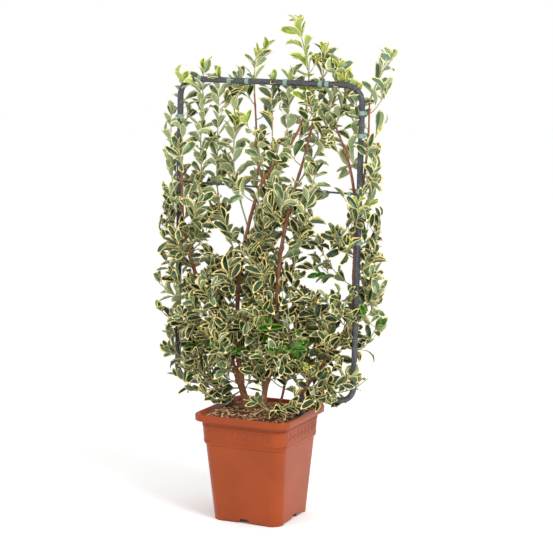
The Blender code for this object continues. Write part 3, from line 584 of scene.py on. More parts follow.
def finish_piece(name, mesh, materials, smooth=True, angle=40):
    """Gives a mesh its materials and shading, and rides it on the root body."""
    for material in materials:
        mesh.materials.append(material)
    if smooth:
        mesh.shade_smooth()
        mesh.set_sharp_from_angle(angle=math.radians(angle))
    piece = bpy.data.objects.new(name, mesh)
    bpy.context.scene.collection.objects.link(piece)
    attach(piece, "root")
    return piece


# Pot


def collar_half(z):
    """Half side of the collar's tapered face at this height."""
    share = (z - COLLAR_Z) / (LIP_Z - COLLAR_Z)
    return COLLAR_FOOT_HALF + (COLLAR_TOP_HALF - COLLAR_FOOT_HALF) * share


def pot_profile(rim):
    """Half side and height of the pot's skin, from the foot over the lip and down inside."""
    rows = [(FOOT_HALF, 0.0), (FOOT_HALF + FOOT_EDGE[0], FOOT_EDGE[1])]
    rows += [(FOOT_HALF + (BODY_TOP_HALF - FOOT_HALF) * z / STEP_Z, z) for z in BODY_ROWS]
    rows += [(COLLAR_FOOT_HALF, COLLAR_Z)]
    for z in RIB_HEIGHTS:
        rows += [(collar_half(z - RIB), z - RIB), (collar_half(z) + RIB, z), (collar_half(z + RIB), z + RIB)]
    rows += [
        (COLLAR_TOP_HALF, LIP_Z),
        (rim - LIP_ROLL, LIP_Z),
        (rim - LIP_CORNER, LIP_Z + LIP_CORNER),
        (rim, LIP_Z + LIP_ROLL),
        (rim, POT_HEIGHT - LIP_ROLL),
        (rim - LIP_CORNER, POT_HEIGHT - LIP_CORNER),
        (rim - LIP_ROLL, POT_HEIGHT),
    ]
    rows += [(rim - inset, POT_HEIGHT - drop) for inset, drop in LIP_INNER]
    rows += [(COLLAR_TOP_HALF - WALL, LIP_Z)]
    rows += [(COLLAR_FOOT_HALF - WALL, COLLAR_Z + WALL), (COLLAR_FOOT_HALF - WALL, COLLAR_Z)]
    return rows


def foot_rise(place, half):
    """How far the pot's lower edge is cut up here: feet at the corners, a notch in mid side."""
    across = min(abs(place.x), abs(place.y))
    if across < NOTCH_HALF:
        return NOTCH_RISE
    return EDGE_RISE if across < half - CORNER_RADIUS else 0.0


def square_ring(bm, half, z, lifted=0.0):
    """The edges of a square outline with rounded corners, made by bevelling a flat square."""
    flat = bmesh.new()
    bmesh.ops.create_grid(flat, x_segments=1, y_segments=1, size=half)
    bmesh.ops.bevel(
        flat,
        geom=list(flat.verts),
        offset=CORNER_RADIUS,
        offset_type="OFFSET",
        segments=CORNER_STEPS,
        profile=0.5,
        affect="VERTICES",
        material=-1,
    )
    bmesh.ops.delete(flat, geom=list(flat.faces), context="FACES_ONLY")
    straight = [edge for edge in flat.edges if edge.calc_length() > half / 2]
    bmesh.ops.subdivide_edges(flat, edges=straight, cuts=SIDE_CUTS)
    around = sorted((vert.co for vert in flat.verts), key=lambda co: math.atan2(co.y, co.x))
    ring = [bm.verts.new((co.x, co.y, z + foot_rise(co, half) * lifted)) for co in around]
    flat.free()
    return [bm.edges.new((a, b)) for a, b in zip(ring, ring[1:] + ring[:1])]


def make_pot_mesh(skin, rim):
    """The pot's skin, bridged ring by ring from its floor, under the foot and over the lip."""
    bm = bmesh.new()
    inner = FOOT_HALF - WALL
    rings = [square_ring(bm, inner, NOTCH_RISE + WALL), square_ring(bm, inner, 0.0, 1.0)]
    rings += [square_ring(bm, half, z, float(z < WALL)) for half, z in pot_profile(rim)]
    for low, high in zip(rings, rings[1:]):
        bmesh.ops.bridge_loops(bm, edges=low + high)
    bmesh.ops.holes_fill(bm, edges=rings[0] + rings[-1])
    bmesh.ops.recalc_face_normals(bm, faces=bm.faces)
    return finish_mesh("pot_moulding", bm, [skin], angle=30)


def make_key_band(skin, stand):
    """The raised meander round the collar, one set of thin bars for each repeat."""
    count = int(2 * (COLLAR_TOP_HALF - CORNER_RADIUS) / KEY_PITCH)
    start = -count * KEY_PITCH / 2
    height = KEY_HIGH - KEY_LOW
    tilt = math.atan2(COLLAR_TOP_HALF - COLLAR_FOOT_HALF, LIP_Z - COLLAR_Z)
    bm = bmesh.new()
    for side in range(4):
        turn = Matrix.Rotation(side * math.pi / 2, 4, "Z")
        for repeat in range(count):
            for x0, z0, x1, z1 in KEY_STROKES:
                across = start + (repeat + (x0 + x1) / 2) * KEY_PITCH
                up = KEY_LOW + height * (z0 + z1) / 2
                size = (abs(x1 - x0) * KEY_PITCH + KEY_BAR, stand * 2, abs(z1 - z0) * height + KEY_BAR)
                where = (
                    turn
                    @ Matrix.Translation((across, -collar_half(up), up))
                    @ Matrix.Rotation(tilt, 4, "X")
                    @ Matrix.Diagonal((*size, 1.0))
                )
                bmesh.ops.create_cube(bm, size=1.0, matrix=where)
    return finish_mesh("pot_key_band", bm, [skin], smooth=False)


# Compost


def heap_fall(x, y, reach):
    """How far the heap has fallen here towards the pot's wall."""
    out = max(abs(x), abs(y)) / reach
    return max(out - (1 - HEAP_EDGE), 0) / HEAP_EDGE * HEAP_DROP


def make_compost_mesh(skins, chips):
    """A rough heap with bark chips scattered over it."""
    chance = random.Random(SEED)
    bm = bmesh.new()
    reach = COLLAR_TOP_HALF - WALL - HEAP_GAP
    turn_in = reach - HEAP_CORNER
    wave_x, wave_y, wave_across = LUMP_WAVES
    bmesh.ops.create_grid(bm, x_segments=HEAP_CELLS, y_segments=HEAP_CELLS, size=reach)
    for vert in bm.verts:
        x, y = vert.co.x, vert.co.y
        in_corner = min(abs(x), abs(y)) > reach - LUMP_CORNER
        lump = LUMP * math.sin(x * wave_x + 3 * math.sin(y * wave_y)) * math.cos(y * wave_across)
        vert.co.z = HEAP_TOP - heap_fall(x, y, reach) + lump * (0 if in_corner else 1)
        corner = Vector((abs(x) - turn_in, abs(y) - turn_in))
        if corner.x > 0 and corner.y > 0 and corner.length > HEAP_CORNER:
            corner = corner.normalized() * HEAP_CORNER
            vert.co.x = math.copysign(turn_in + corner.x, x)
            vert.co.y = math.copysign(turn_in + corner.y, y)
    for _ in range(chips):
        x, y = [chance.uniform(-1, 1) * reach * CHIP_SPREAD for _ in range(2)]
        if min(abs(x), abs(y)) > reach - CHIP_CORNER:
            continue
        z = CHIP_BED - heap_fall(x, y, reach) + chance.uniform(*CHIP_LIFT)
        size = Vector([chance.uniform(*span) for span in CHIP_SIZES])
        turn = Matrix.Rotation(chance.uniform(0, math.tau), 4, "Z")
        lean_x, lean_y = [Matrix.Rotation(chance.uniform(-most, most), 4, axis) for axis, most in CHIP_LEANS]
        where = Matrix.Translation((x, y, z)) @ turn @ (lean_x @ lean_y) @ Matrix.Diagonal((*size, 1.0))
        chip = bmesh.ops.create_icosphere(bm, subdivisions=1, radius=0.5, matrix=where)
        for vert in chip["verts"]:
            vert.co += Vector([chance.uniform(-1, 1) for _ in range(3)]) * size.y * CHIP_CRUMPLE
        slot = chance.choices((1, 2, 3), CHIP_SHARES)[0]
        for face in {face for vert in chip["verts"] for face in vert.link_faces}:
            face.material_index = slot
    return finish_mesh("bark_mulch_top", bm, skins, smooth=False)


# Frame


def arc(centre, radius, start_deg, end_deg, step_deg=5):
    """Points along an arc in the panel."""
    count = max(int(abs(end_deg - start_deg) / step_deg), 2)
    angles = np.radians(np.linspace(start_deg, end_deg, count + 1))
    return [(centre[0] + radius * math.cos(a), 0.0, centre[1] + radius * math.sin(a)) for a in angles]


def tube_route():
    """The whole bent tube, from one leg's end round to the other's."""
    corner_w = FRAME_TOP - TOP_BEND
    corner_u = FRAME_HALF - TOP_BEND
    foot_w = LEG_RUN_W + FOOT_BEND
    half = []
    for leg_u in LEG_PLACES:
        side = math.copysign(1.0, leg_u)
        down = arc((abs(leg_u) + LEG_BEND, LEG_RUN_W - LEG_BEND), LEG_BEND, 180, 90)
        foot = arc((FRAME_HALF - FOOT_BEND, foot_w), FOOT_BEND, -90, 0)
        top = arc((corner_u, corner_w), TOP_BEND, 0, 90)
        route = [(abs(leg_u), 0.0, LEG_END_W), *down, *foot, *top]
        half.append([(side * u, v, w) for u, v, w in route])
    return half[0] + half[1][::-1]


def curve_mesh(name, routes, bevel_steps):
    """A mesh swept along routes of points and radii in the panel, by a bevelled curve."""
    curve = bpy.data.curves.new(name, "CURVE")
    curve.dimensions = "3D"
    curve.bevel_depth = 1.0
    curve.bevel_resolution = bevel_steps
    curve.use_fill_caps = True
    for points, radii in routes:
        spline = curve.splines.new("POLY")
        spline.points.add(len(points) - 1)
        for point, at, radius in zip(spline.points, points, radii):
            point.co = (*(PANEL @ Vector(at)), 1.0)
            point.radius = radius
    holder = bpy.data.objects.new(name, curve)
    bpy.context.scene.collection.objects.link(holder)
    mesh = bpy.data.meshes.new_from_object(holder.evaluated_get(bpy.context.evaluated_depsgraph_get()))
    bpy.data.objects.remove(holder, do_unlink=True)
    return mesh


def make_tubes(skin):
    """The bent tube, and the thin bars with a swelling of weld at each end."""
    route = tube_route()
    mesh = curve_mesh("frame_tube", [(route, [TUBE_RADIUS] * len(route))], 6)
    tube = finish_piece("bent_tube", mesh, [skin], angle=50)
    bars = [([(-BAR_HALF, 0, w), (BAR_HALF, 0, w)], [BAR_RADIUS] * 2) for w in BAR_HEIGHTS]
    welds = [
        ([(side * (BAR_HALF - inset), 0, w) for inset in WELD_SPAN], WELD_RADII)
        for w in BAR_HEIGHTS
        for side in (-1, 1)
    ]
    mesh = curve_mesh("bars", bars + welds, 4)
    crossbars = finish_piece("crossbars", mesh, [skin], angle=50)
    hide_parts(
        "frame_left_leg",
        "frame_left_upright",
        "frame_right_leg",
        "frame_right_upright",
        "frame_top_bar",
    )
    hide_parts("frame_middle_bar", "frame_lower_bar")
    return tube, crossbars


def make_ties(skin, length):
    """Soft ties round the tube and round each crossing of the middle bar."""
    rings = []
    half = length / 2
    for u, w in TIES:
        level = w == FRAME_TOP
        du, dw = (half, 0.0) if level else (0.0, half)
        rings.append(([(u - du, 0, w - dw), (u + du, 0, w + dw)], [TIE_RADIUS] * 2))
        tail = (u, TAIL_BEHIND, w) if level else (u + math.copysign(TAIL_BESIDE, u), 0, w)
        rings.append(([(u, 0, w), tail], [TAIL_RADIUS] * 2))
    for u in BAR_TIES:
        ends = [(u + side * BAR_TIE_HALF, BAR_TIE_V, BAR_HEIGHTS[0]) for side in (-1, 1)]
        rings.append((ends, [BAR_TIE_RADIUS] * 2))
    mesh = curve_mesh("ties", rings, 4)
    return finish_piece("soft_ties", mesh, [skin], angle=50)


# Limbs


def smooth_route(guides, step=0.004):
    """Rows on a smooth curve through guide rows, at about even steps."""
    rows = np.array(guides, float)
    ends = np.vstack([2 * rows[0] - rows[1], rows, 2 * rows[-1] - rows[-2]])
    points = []
    for i in range(1, len(ends) - 2):
        a, b, c, d = ends[i - 1 : i + 3]
        count = max(int(np.linalg.norm((c - b)[:3]) / step), 1)
        for t in np.arange(count) / count:
            cubic = (-a + 3 * b - 3 * c + d) * t**3
            square = (2 * a - 5 * b + 4 * c - d) * t**2
            points.append((cubic + square + (c - a) * t + 2 * b) / 2)
    points.append(rows[-1])
    return np.array(points)


def make_bark_stems(skin):
    """Each limb with a flared foot where it leaves the compost, and knots along it."""
    chance = random.Random(SEED + 1)
    made = []
    for name, guides in STEMS.items():
        route = smooth_route(guides)
        radii = route[:, 3].copy()
        if name.startswith("stem"):
            rise = (route[:, 2] - route[0, 2]) / FLARE_HEIGHT
            radii *= 1 + FLARE * np.exp(-rise)
        for _ in range(int(len(route) * KNOT_SHARE) + 1):
            at = chance.randrange(len(route))
            swell = chance.uniform(*KNOT_SWELL)
            radii *= 1 + swell * np.exp(-(((np.arange(len(route)) - at) / KNOT_REACH) ** 2))
        mesh = curve_mesh(name, [(route[:, :3], radii)], 5)
        piece = finish_piece(f"bark_{name}", mesh, [skin], angle=60)
        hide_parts(name)
        made.append(piece)
    return made


# Crown


def unit(vector):
    """The vector at length 1."""
    return vector / max(np.linalg.norm(vector), 1e-9)


def least_gap(points, start, end):
    """Distances from each point to each stretch between two ends."""
    along = end - start
    offset = points[:, None, :] - start[None]
    share = np.clip((offset * along).sum(axis=2) / (along**2).sum(axis=1), 0, 1)
    return np.linalg.norm(offset - share[:, :, None] * along, axis=2)


def twig_spacing(w):
    """How far apart twigs stand at this height, against those in mid crown."""
    if w < DENSE_BELOW_W:
        return CLOSE_STEP
    return WIDE_STEP if w > OPEN_ABOVE_W else 1.0


class Crown:
    """Twigs and leaves grown from the limbs by rule, in the panel's coordinates."""

    def __init__(self, leaf_length):
        self.chance = random.Random(SEED)
        self.leaf_length = leaf_length
        self.twigs = []
        self.leaves = []
        self.walls = self.wall_rows()

    def wall_rows(self):
        """Capsules of the tubes and limbs that leaves keep off."""
        rows = []
        routes = [(tube_route(), TUBE_RADIUS)]
        routes += [([(-FRAME_HALF, 0, w), (FRAME_HALF, 0, w)], BAR_RADIUS) for w in BAR_HEIGHTS]
        for points, radius in routes:
            rows += [(*a, *b, radius) for a, b in zip(points, points[1:])]
        for guides in STEMS.values():
            route = smooth_route(guides, 0.02)
            rows += [(*a[:3], *b[:3], a[3]) for a, b in zip(route, route[1:])]
        return np.array(rows)

    def clear(self, points):
        """Whether every point keeps off the tubes and limbs."""
        gaps = least_gap(points, self.walls[:, :3], self.walls[:, 3:6]) - self.walls[:, 6]
        return gaps.min() > LEAF_CLEAR

    def inside(self, points):
        """Whether every point lies in the crown's outline and off the open lines of sight."""
        wave_u, wave_w, swing_w, swing_u = RAGGED_WAVES
        for u, v, w in points:
            if not LEAF_LOWEST_W < w < OUTLINE[-1, 0]:
                return False
            left, right, front, back = (np.interp(w, OUTLINE[:, 0], OUTLINE[:, c]) for c in range(1, 5))
            seen = u + SIGHT_U * v
            if min(u, seen) < left or max(u, seen) > right or not -front < v < back:
                return False
            up = w + SIGHT_W * v
            if v < BARE_BEHIND_V and self.hides_stem(seen, up):
                return False
            ragged = math.sin(seen * wave_u + up * wave_w) * math.cos(up * swing_w - seen * swing_u)
            for at_u, at_w, half_u, half_w in WINDOWS:
                away = ((seen - at_u) / half_u) ** 2 + ((up - at_w) / half_w) ** 2
                if away < RAGGED_MEAN + RAGGED_SWING * ragged:
                    return False
        return True

    def hides_stem(self, seen, up):
        """Whether a point stands before a stretch of stem that stays bare."""
        return least_gap(np.array([(seen, up)]), BARE[:, :2], BARE[:, 2:]).min() < BARE_HALF

    def leaf(self, base, along, out, tone, size=1.0, spread=LEAF_SPREAD):
        """Sets one leaf at a place on a twig, turned to the light, if there is room for it."""
        for _ in range(LEAF_TRIES):
            length = self.chance.uniform(*self.leaf_length) * size
            angle = math.radians(spread + self.chance.uniform(-LEAF_SWING, LEAF_SWING))
            turn = self.chance.uniform(-LEAF_TURN, LEAF_TURN)
            side = out * math.cos(turn) + np.cross(along, out) * math.sin(turn)
            way = unit(along * math.cos(angle) + side * math.sin(angle))
            lit = along + TO_LIGHT * (LIT_HIGH if base[2] > OPEN_ABOVE_W else LIT_LOW)
            upper = unit(lit - way * np.dot(lit, way))
            roll = self.chance.uniform(-LEAF_ROLL, LEAF_ROLL)
            across = np.cross(way, upper)
            upper = unit(upper * math.cos(roll) + across * math.sin(roll))
            across = np.cross(way, upper)
            marks = [base + way * length * t for t in LEAF_MARKS]
            marks += [marks[0] + across * length * s for s in (-LEAF_SIDE_MARK, LEAF_SIDE_MARK)]
            marks = np.array(marks)
            if self.inside(marks) and self.clear(marks):
                self.leaves.append((base, way, upper, length, tone))
                return

    def tone(self, w, tip=False):
        """A leaf colour for this height: darker low down, where the deep tone paints shade into the lower
        crown, paler high up, and young at the highest tips.
        """
        pick = self.chance.random()
        if tip and w > YOUNG_ABOVE_W:
            return "young" if pick < YOUNG_SHARE else "grey"
        shares = SHARES_HIGH if w > OPEN_ABOVE_W else SHARES_LOW
        return self.chance.choices(list(LEAF_TONES), shares)[0]

    def dress(self, route, radii, step=LEAF_STEP, bare=0.0):
        """Lays a twig along a route and sets crossed pairs of leaves on it."""
        lengths = np.linalg.norm(np.diff(route, axis=0), axis=1)
        reached = np.concatenate([[0.0], np.cumsum(lengths)])
        self.twigs.append((route, np.linspace(*radii, len(route))))
        count = max(int(reached[-1] / step), 1)
        turn = self.chance.uniform(0, math.pi)
        tone = self.tone(route[-1][2])
        for number in range(count + 1):
            at = reached[-1] * number / count
            if at < bare:
                continue
            index = min(int(np.searchsorted(reached, at)), len(route) - 1)
            base = route[index]
            after = max(index, 1)
            along = unit(route[after] - route[after - 1])
            across = unit(np.cross(along, LEAF_SET_OFF))
            out = across * math.cos(turn) + np.cross(along, across) * math.sin(turn)
            turn += math.pi / 2 + self.chance.uniform(-PAIR_SWING, PAIR_SWING)
            tip = number == count
            shade = self.tone(base[2], True) if tip else tone
            spread = TIP_SPREAD if tip else LEAF_SPREAD
            scale = (TIP_SCALE if tip else 1.0) * (HIGH_SCALE if base[2] > OPEN_ABOVE_W else 1.0)
            self.leaf(base, along, out, shade, scale, spread)
            self.leaf(base, along, -out, shade, scale, spread)
            if tip:
                crossed = np.cross(along, out)
                for side in (1, -1):
                    self.leaf(base, along, crossed * side, shade, scale * TIP_SCALE, CROSSED_SPREAD)

    def curl(self, base, way, length):
        """A twig's route that leaves one way and bends up to the light."""
        points = [base]
        for _ in range(TWIG_JOINTS):
            wander = np.array([self.chance.uniform(-TWIG_WANDER, TWIG_WANDER) for _ in range(3)])
            way = unit(way + np.array((0, 0, TWIG_RISE)) + wander)
            points.append(points[-1] + way * length / TWIG_JOINTS)
        return np.array(points)

    def twig(self, base, way, length, radius, level):
        """Grows a twig, shortened until it finds room, and this many levels of forks from it."""
        for share in TWIG_CUTS:
            route = self.curl(base, way, length * share)
            if self.inside(route[2:]) and self.clear(route[3:]):
                break
        else:
            return
        self.dress(route, (radius, radius * TWIG_TAPER), bare=TWIG_BARE)
        if level <= 0:
            return
        for at in FORK_JOINTS:
            along = unit(route[at] - route[at - 1])
            for sign in (-1, 1):
                if self.chance.random() < FORK_CHANCE:
                    across = unit(np.cross(along, self.random_way())) * sign
                    way = unit(along * FORK_ALONG + across)
                    self.twig(route[at], way, length * FORK_LENGTH, radius * FORK_RADIUS, level - 1)

    def random_way(self):
        """A direction, any as likely as another."""
        return unit(np.array([self.chance.gauss(0, 1) for _ in range(3)]))

    def grow(self):
        """Dresses the long shoots, and then grows twigs along every limb."""
        for guides in SHOOTS:
            route = smooth_route(guides, 0.010)
            self.dress(route, SHOOT_RADII, SHOOT_LEAF_STEP, SHOOT_BARE)
            self.side_twigs(route, SPUR_STEP, SPUR_LENGTH, 0, SPUR_RADIUS)
        for guides in STEMS.values():
            route = smooth_route(guides, 0.010)[:, :3]
            self.side_twigs(route, TWIG_STEP, TWIG_LENGTH, 1, TWIG_RADIUS)

    def side_twigs(self, route, step, lengths, level, radius):
        """Grows twigs to all sides along a route."""
        reached = 0.0
        turn = self.chance.uniform(0, math.tau)
        for a, b in zip(route, route[1:]):
            reached += np.linalg.norm(b - a)
            if reached < step * twig_spacing(b[2]):
                continue
            reached = 0.0
            if b[2] < TWIG_FROM_W:
                continue
            along = unit(b - a)
            across = unit(np.cross(along, TWIG_SET_OFF))
            turn += TWIG_TURN
            out = across * math.cos(turn) + np.cross(along, across) * math.sin(turn)
            out[2] = abs(out[2]) * TWIG_LIFT
            high = b[2] > OPEN_ABOVE_W
            length = self.chance.uniform(*lengths) * (HIGH_TWIG if high else 1.0)
            self.twig(b, unit(along * TWIG_ALONG + out), length, radius, 0 if high else level)


def leaf_template(fold, arch, margin):
    """One leaf of unit length along X, with its blade across Y and its upper side up."""
    bm = bmesh.new()
    columns = (-1.0, -margin, 0.0, margin, 1.0)
    along, across = len(LEAF_STATIONS) - 1, len(columns) - 1
    bmesh.ops.create_grid(bm, x_segments=along, y_segments=across, size=0.5)
    for vert in bm.verts:
        i = round((vert.co.x + 0.5) * along)
        j = round((vert.co.y + 0.5) * across)
        t, u, half = LEAF_STATIONS[i], columns[j], LEAF_WIDTHS[i]
        wave = LEAF_WAVE * math.sin(t * 9 + u * 2) * abs(u)
        up = abs(u) * half * math.tan(fold) + arch * (0.25 - (t - 0.5) ** 2) + wave
        bulge = LEAF_BULGE * (1 - u * u) * (1 if 0 < t < 1 else 0)
        vert.co = Vector((t, u * half * math.cos(fold * 0.6), up + bulge))
    for face in bm.faces:
        middle = face.calc_center_median()
        reach = max(abs(vert.co.y) for vert in face.verts)
        edge = any(vert.is_boundary for vert in face.verts)
        if edge and (reach > MARGIN_FROM or middle.x > TIP_FROM):
            face.material_index = MARGIN
        else:
            face.material_index = STREAK if middle.y > 0 and middle.x < 0.5 else BLADE
    bmesh.ops.recalc_face_normals(bm, faces=bm.faces)
    if sum(face.normal.z for face in bm.faces) < 0:
        bmesh.ops.reverse_faces(bm, faces=bm.faces)
    bmesh.ops.solidify(bm, geom=list(bm.faces), thickness=LEAF_THICK)
    bm.normal_update()
    for face in bm.faces:
        if face.normal.z < -0.05:
            face.material_index = BACK_MARGIN if face.material_index == MARGIN else BACK
    mesh = bpy.data.meshes.new("leaf_template")
    bm.to_mesh(mesh)
    bm.free()
    points = np.empty(len(mesh.vertices) * 3)
    mesh.vertices.foreach_get("co", points)
    loops = np.array([loop.vertex_index for loop in mesh.loops])
    starts = np.array([polygon.loop_start for polygon in mesh.polygons])
    kinds = np.array([polygon.material_index for polygon in mesh.polygons])
    bpy.data.meshes.remove(mesh)
    return points.reshape(-1, 3), loops, starts, kinds


def joined_leaves(name, leaves, skins, chance):
    """All these leaves as one mesh, copied from a few templates."""
    templates = [leaf_template(*shape) for shape in LEAF_SHAPES]
    order = list(LEAF_TONES)
    points, loops, starts, kinds = [], [], [], []
    base_point = base_loop = 0
    for base, way, upper, length, tone in leaves:
        shape, corners, firsts, parts = templates[chance.randrange(len(templates))]
        turn = np.stack([way, np.cross(upper, way), upper])
        points.append(base + (shape + (LEAF_STALK, 0, 0)) @ turn * length)
        loops.append(corners + base_point)
        starts.append(firsts + base_loop)
        kinds.append(parts + order.index(tone) * len(LEAF_PARTS))
        base_point += len(shape)
        base_loop += len(corners)
    mesh = bpy.data.meshes.new(name)
    mesh.vertices.add(base_point)
    mesh.vertices.foreach_set("co", np.concatenate(points).ravel())
    mesh.loops.add(base_loop)
    mesh.loops.foreach_set("vertex_index", np.concatenate(loops))
    firsts = np.concatenate(starts)
    mesh.polygons.add(len(firsts))
    mesh.polygons.foreach_set("loop_start", firsts)
    mesh.polygons.foreach_set("material_index", np.concatenate(kinds))
    mesh.update(calc_edges=True)
    mesh.validate()
    mesh.transform(PANEL)
    return finish_piece(name, mesh, skins, angle=50)


def make_crown(leaf_length, colours):
    """The crown's leaves, in tiers of equal number from the lowest up, and its young twigs."""
    crown = Crown(leaf_length)
    crown.grow()
    skins = [
        leaf_skin(tone, part, getattr(colours, f"{tone}_{part}"))
        for tone in LEAF_TONES
        for part in LEAF_PARTS
    ]
    chance = random.Random(SEED + 2)
    crown.leaves.sort(key=lambda leaf: leaf[0][2])
    share = math.ceil(len(crown.leaves) / LEAF_PIECES)
    pieces = [
        joined_leaves(f"leaves_tier_{number + 1}", crown.leaves[number * share :][:share], skins, chance)
        for number in range(LEAF_PIECES)
    ]
    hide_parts(*MASSES)
    mesh = curve_mesh("twigs", crown.twigs, 1)
    twigs = finish_piece("young_twigs", mesh, [young_bark()], angle=60)
    return pieces, twigs


# Settings that a user would change


def colour_setting(name, description, hex_value):
    """A colour property whose default is this sRGB hex value."""
    return bpy.props.FloatVectorProperty(
        name=name,
        description=description,
        subtype="COLOR",
        size=4,
        min=0.0,
        max=1.0,
        default=colour_of(hex_value),
    )


def length_setting(name, description, metres):
    """A length property with this default."""
    return bpy.props.FloatProperty(
        name=name, description=description, default=metres, precision=4, unit="LENGTH"
    )


def length_of(value):
    """A length setting to the micrometre, because Blender keeps it in single precision."""
    return round(value, 6)


class LeafColours(bpy.types.PropertyGroup):
    """Colours of the leaves: each part of a leaf in each tone."""

    __annotations__ = {
        f"{tone}_{part}": colour_setting(
            f"{tone} {part}".replace("_", " ").capitalize(),
            f"Colour of a leaf's {part} in the {tone} tone".replace("_", " "),
            colour,
        )
        for tone, colours in LEAF_TONES.items()
        for part, colour in zip(LEAF_PARTS, colours)
    }


class SpindleSettings(bpy.types.PropertyGroup):
    """Sizes and colours of the potted spindle."""

    rim_stand: length_setting("Rim", "How far the rolled rim stands out past the solid pot", 0.0025)
    key_stand: length_setting("Key pattern", "How far the key pattern stands out of the collar", 0.0006)
    chips: bpy.props.IntProperty(
        name="Bark chips", description="How many bark chips are scattered on the compost", default=760, min=0
    )
    tie_length: length_setting("Tie length", "Length of a tie along the tube", 0.011)
    leaf_shortest: length_setting("Shortest leaf", "Blade of the shortest leaves in mid crown", 0.037)
    leaf_longest: length_setting("Longest leaf", "Blade of the longest leaves in mid crown", 0.052)
    pot_dark: colour_setting("Pot, darker", "Darker patches of the pot", "#8E3A0E")
    pot_light: colour_setting("Pot, lighter", "Lighter patches of the pot", "#9A4113")
    coating: colour_setting("Tube coating", "The tube's coating between its flecks", "#4C4D52")
    bark: colour_setting("Bark", "Stem bark between its fissures", "#8F5A40")
    tie: colour_setting("Ties", "Soft ties", "#7C9A88")
    leaves: bpy.props.PointerProperty(
        name="Leaf colours", description="Colours of the leaves", type=LeafColours
    )
    key_light: bpy.props.FloatProperty(
        name="Key light",
        description="Power of the large soft light on the right",
        default=110.0,
        unit="POWER",
    )


class SPINDLE_OT_pot(bpy.types.Operator):
    """Makes the moulded pot with its key band, in place of the pot's solid."""

    bl_idname = "spindle.pot"
    bl_label = "Pot"

    def execute(self, context):
        settings = context.scene.spindle
        skin = moulded_polypropylene(settings.pot_dark, settings.pot_light)
        pot = make_pot_mesh(skin, POT_HIGH.x + length_of(settings.rim_stand))
        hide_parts("pot")
        band = make_key_band(skin, length_of(settings.key_stand))
        return {"FINISHED"}


class SPINDLE_OT_compost(bpy.types.Operator):
    """Makes the compost's top with its bark chips."""

    bl_idname = "spindle.compost"
    bl_label = "Compost"

    def execute(self, context):
        skins = [
            bark_mulch("composted_bark_soil", "#3A281C", "#6A4A32"),
            bark_mulch("composted_bark_dark", "#4A2E1E", "#84563A"),
            bark_mulch("composted_bark_brown", "#7A4C30", "#BC8A5C"),
            bark_mulch("composted_bark_pale", "#B08860", "#E4CAA4"),
        ]
        heap = make_compost_mesh(skins, context.scene.spindle.chips)
        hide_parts("compost")
        return {"FINISHED"}


class SPINDLE_OT_tube_frame(bpy.types.Operator):
    """Makes the bent tube, its crossbars and the ties."""

    bl_idname = "spindle.tube_frame"
    bl_label = "Tube frame"

    def execute(self, context):
        settings = context.scene.spindle
        for piece in make_tubes(hammered_coating(settings.coating)):
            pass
        make_ties(tie_vinyl(settings.tie), length_of(settings.tie_length))
        return {"FINISHED"}


class SPINDLE_OT_stems(bpy.types.Operator):
    """Makes the woody stems and boughs with their bark."""

    bl_idname = "spindle.stems"
    bl_label = "Stems"

    def execute(self, context):
        for piece in make_bark_stems(woody_bark(context.scene.spindle.bark)):
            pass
        return {"FINISHED"}


class SPINDLE_OT_crown(bpy.types.Operator):
    """Grows the twigs and leaves."""

    bl_idname = "spindle.crown"
    bl_label = "Crown"

    def execute(self, context):
        settings = context.scene.spindle
        leaf_length = (length_of(settings.leaf_shortest), length_of(settings.leaf_longest))
        pieces, twigs = make_crown(leaf_length, settings.leaves)
        return {"FINISHED"}


class SPINDLE_OT_stage(bpy.types.Operator):
    """Sets the floor, the soft lights and the camera."""

    bl_idname = "spindle.stage"
    bl_label = "Stage"

    def execute(self, context):
        make_floor()
        make_lights(context.scene.spindle.key_light)
        make_camera()
        return {"FINISHED"}


def make_floor():
    """A plain matt white floor that runs out of the view."""
    bm = bmesh.new()
    bmesh.ops.create_grid(bm, x_segments=1, y_segments=1, size=FLOOR_HALF)
    mesh = bpy.data.meshes.new("floor")
    bm.to_mesh(mesh)
    bm.free()
    made, _, _ = surface("pale_floor", "#FFFFFF", 1.0)
    mesh.materials.append(made)
    floor = bpy.data.objects.new("floor", mesh)
    bpy.context.scene.collection.objects.link(floor)


def area_light(name, place, size, power):
    """A round soft light aimed at the crown."""
    light = bpy.data.lights.new(name, "AREA")
    light.shape = "DISK"
    light.size = size
    light.energy = power
    lamp = bpy.data.objects.new(name, light)
    lamp.location = place
    lamp.rotation_euler = (Vector(LIGHT_AIM) - Vector(place)).to_track_quat("-Z", "Y").to_euler()
    bpy.context.scene.collection.objects.link(lamp)


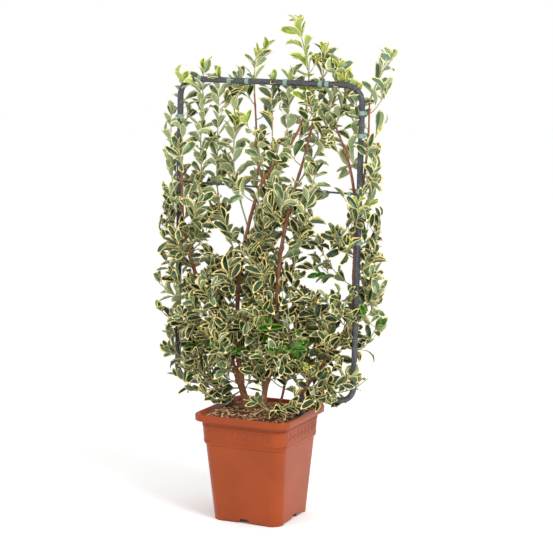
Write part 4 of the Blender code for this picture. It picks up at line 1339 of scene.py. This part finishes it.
def make_lights(power):
    """White light from all round, the key light on the right and a weak fill on the left."""
    scene = bpy.context.scene
    scene.view_settings.view_transform = "Standard"
    world = bpy.data.worlds.new("studio")
    world.use_nodes = True
    world.node_tree.nodes["Background"].inputs["Color"].default_value = (1.0, 1.0, 1.0, 1.0)
    world.node_tree.nodes["Background"].inputs["Strength"].default_value = 1.0
    scene.world = world
    area_light("key", KEY_PLACE, KEY_SIZE, power)
    area_light("fill", FILL_PLACE, FILL_SIZE, power * FILL_SHARE)


def make_camera():
    """The camera, without roll, looking down a little."""
    data = bpy.data.cameras.new("camera")
    data.sensor_width = SENSOR
    data.lens = CAMERA_LENS
    camera = bpy.data.objects.new("camera", data)
    camera.location = CAMERA_PLACE
    camera.rotation_euler = (math.pi / 2 - CAMERA_DIP, 0.0, CAMERA_TURN)
    bpy.context.scene.collection.objects.link(camera)
    bpy.context.scene.camera = camera


class SPINDLE_PT_panel(bpy.types.Panel):
    """Lists the settings and the pieces of the potted spindle."""

    bl_idname = "SPINDLE_PT_panel"
    bl_label = "Spindle"
    bl_space_type = "VIEW_3D"
    bl_region_type = "UI"
    bl_category = "Spindle"

    def draw(self, context):
        settings = context.scene.spindle
        for group in (settings, settings.leaves):
            for name in type(group).__annotations__:
                if name != "leaves":
                    self.layout.prop(group, name)
        for operator in PIECES:
            self.layout.operator(operator.bl_idname)


PIECES = (
    SPINDLE_OT_pot,
    SPINDLE_OT_compost,
    SPINDLE_OT_tube_frame,
    SPINDLE_OT_stems,
    SPINDLE_OT_crown,
    SPINDLE_OT_stage,
)
CLASSES = (LeafColours, SpindleSettings, *PIECES, SPINDLE_PT_panel)


def register():
    """Registers the classes and puts the settings on the scene."""
    for item in CLASSES:
        bpy.utils.register_class(item)
    bpy.types.Scene.spindle = bpy.props.PointerProperty(type=SpindleSettings)


def unregister():
    """Takes the settings and the classes away again."""
    del bpy.types.Scene.spindle
    for item in reversed(CLASSES):
        bpy.utils.unregister_class(item)


def main():
    """Makes every piece in order."""
    register()
    bpy.ops.spindle.pot()
    bpy.ops.spindle.compost()
    bpy.ops.spindle.tube_frame()
    bpy.ops.spindle.stems()
    bpy.ops.spindle.crown()
    bpy.ops.spindle.stage()


if __name__ == "__main__":
    main()
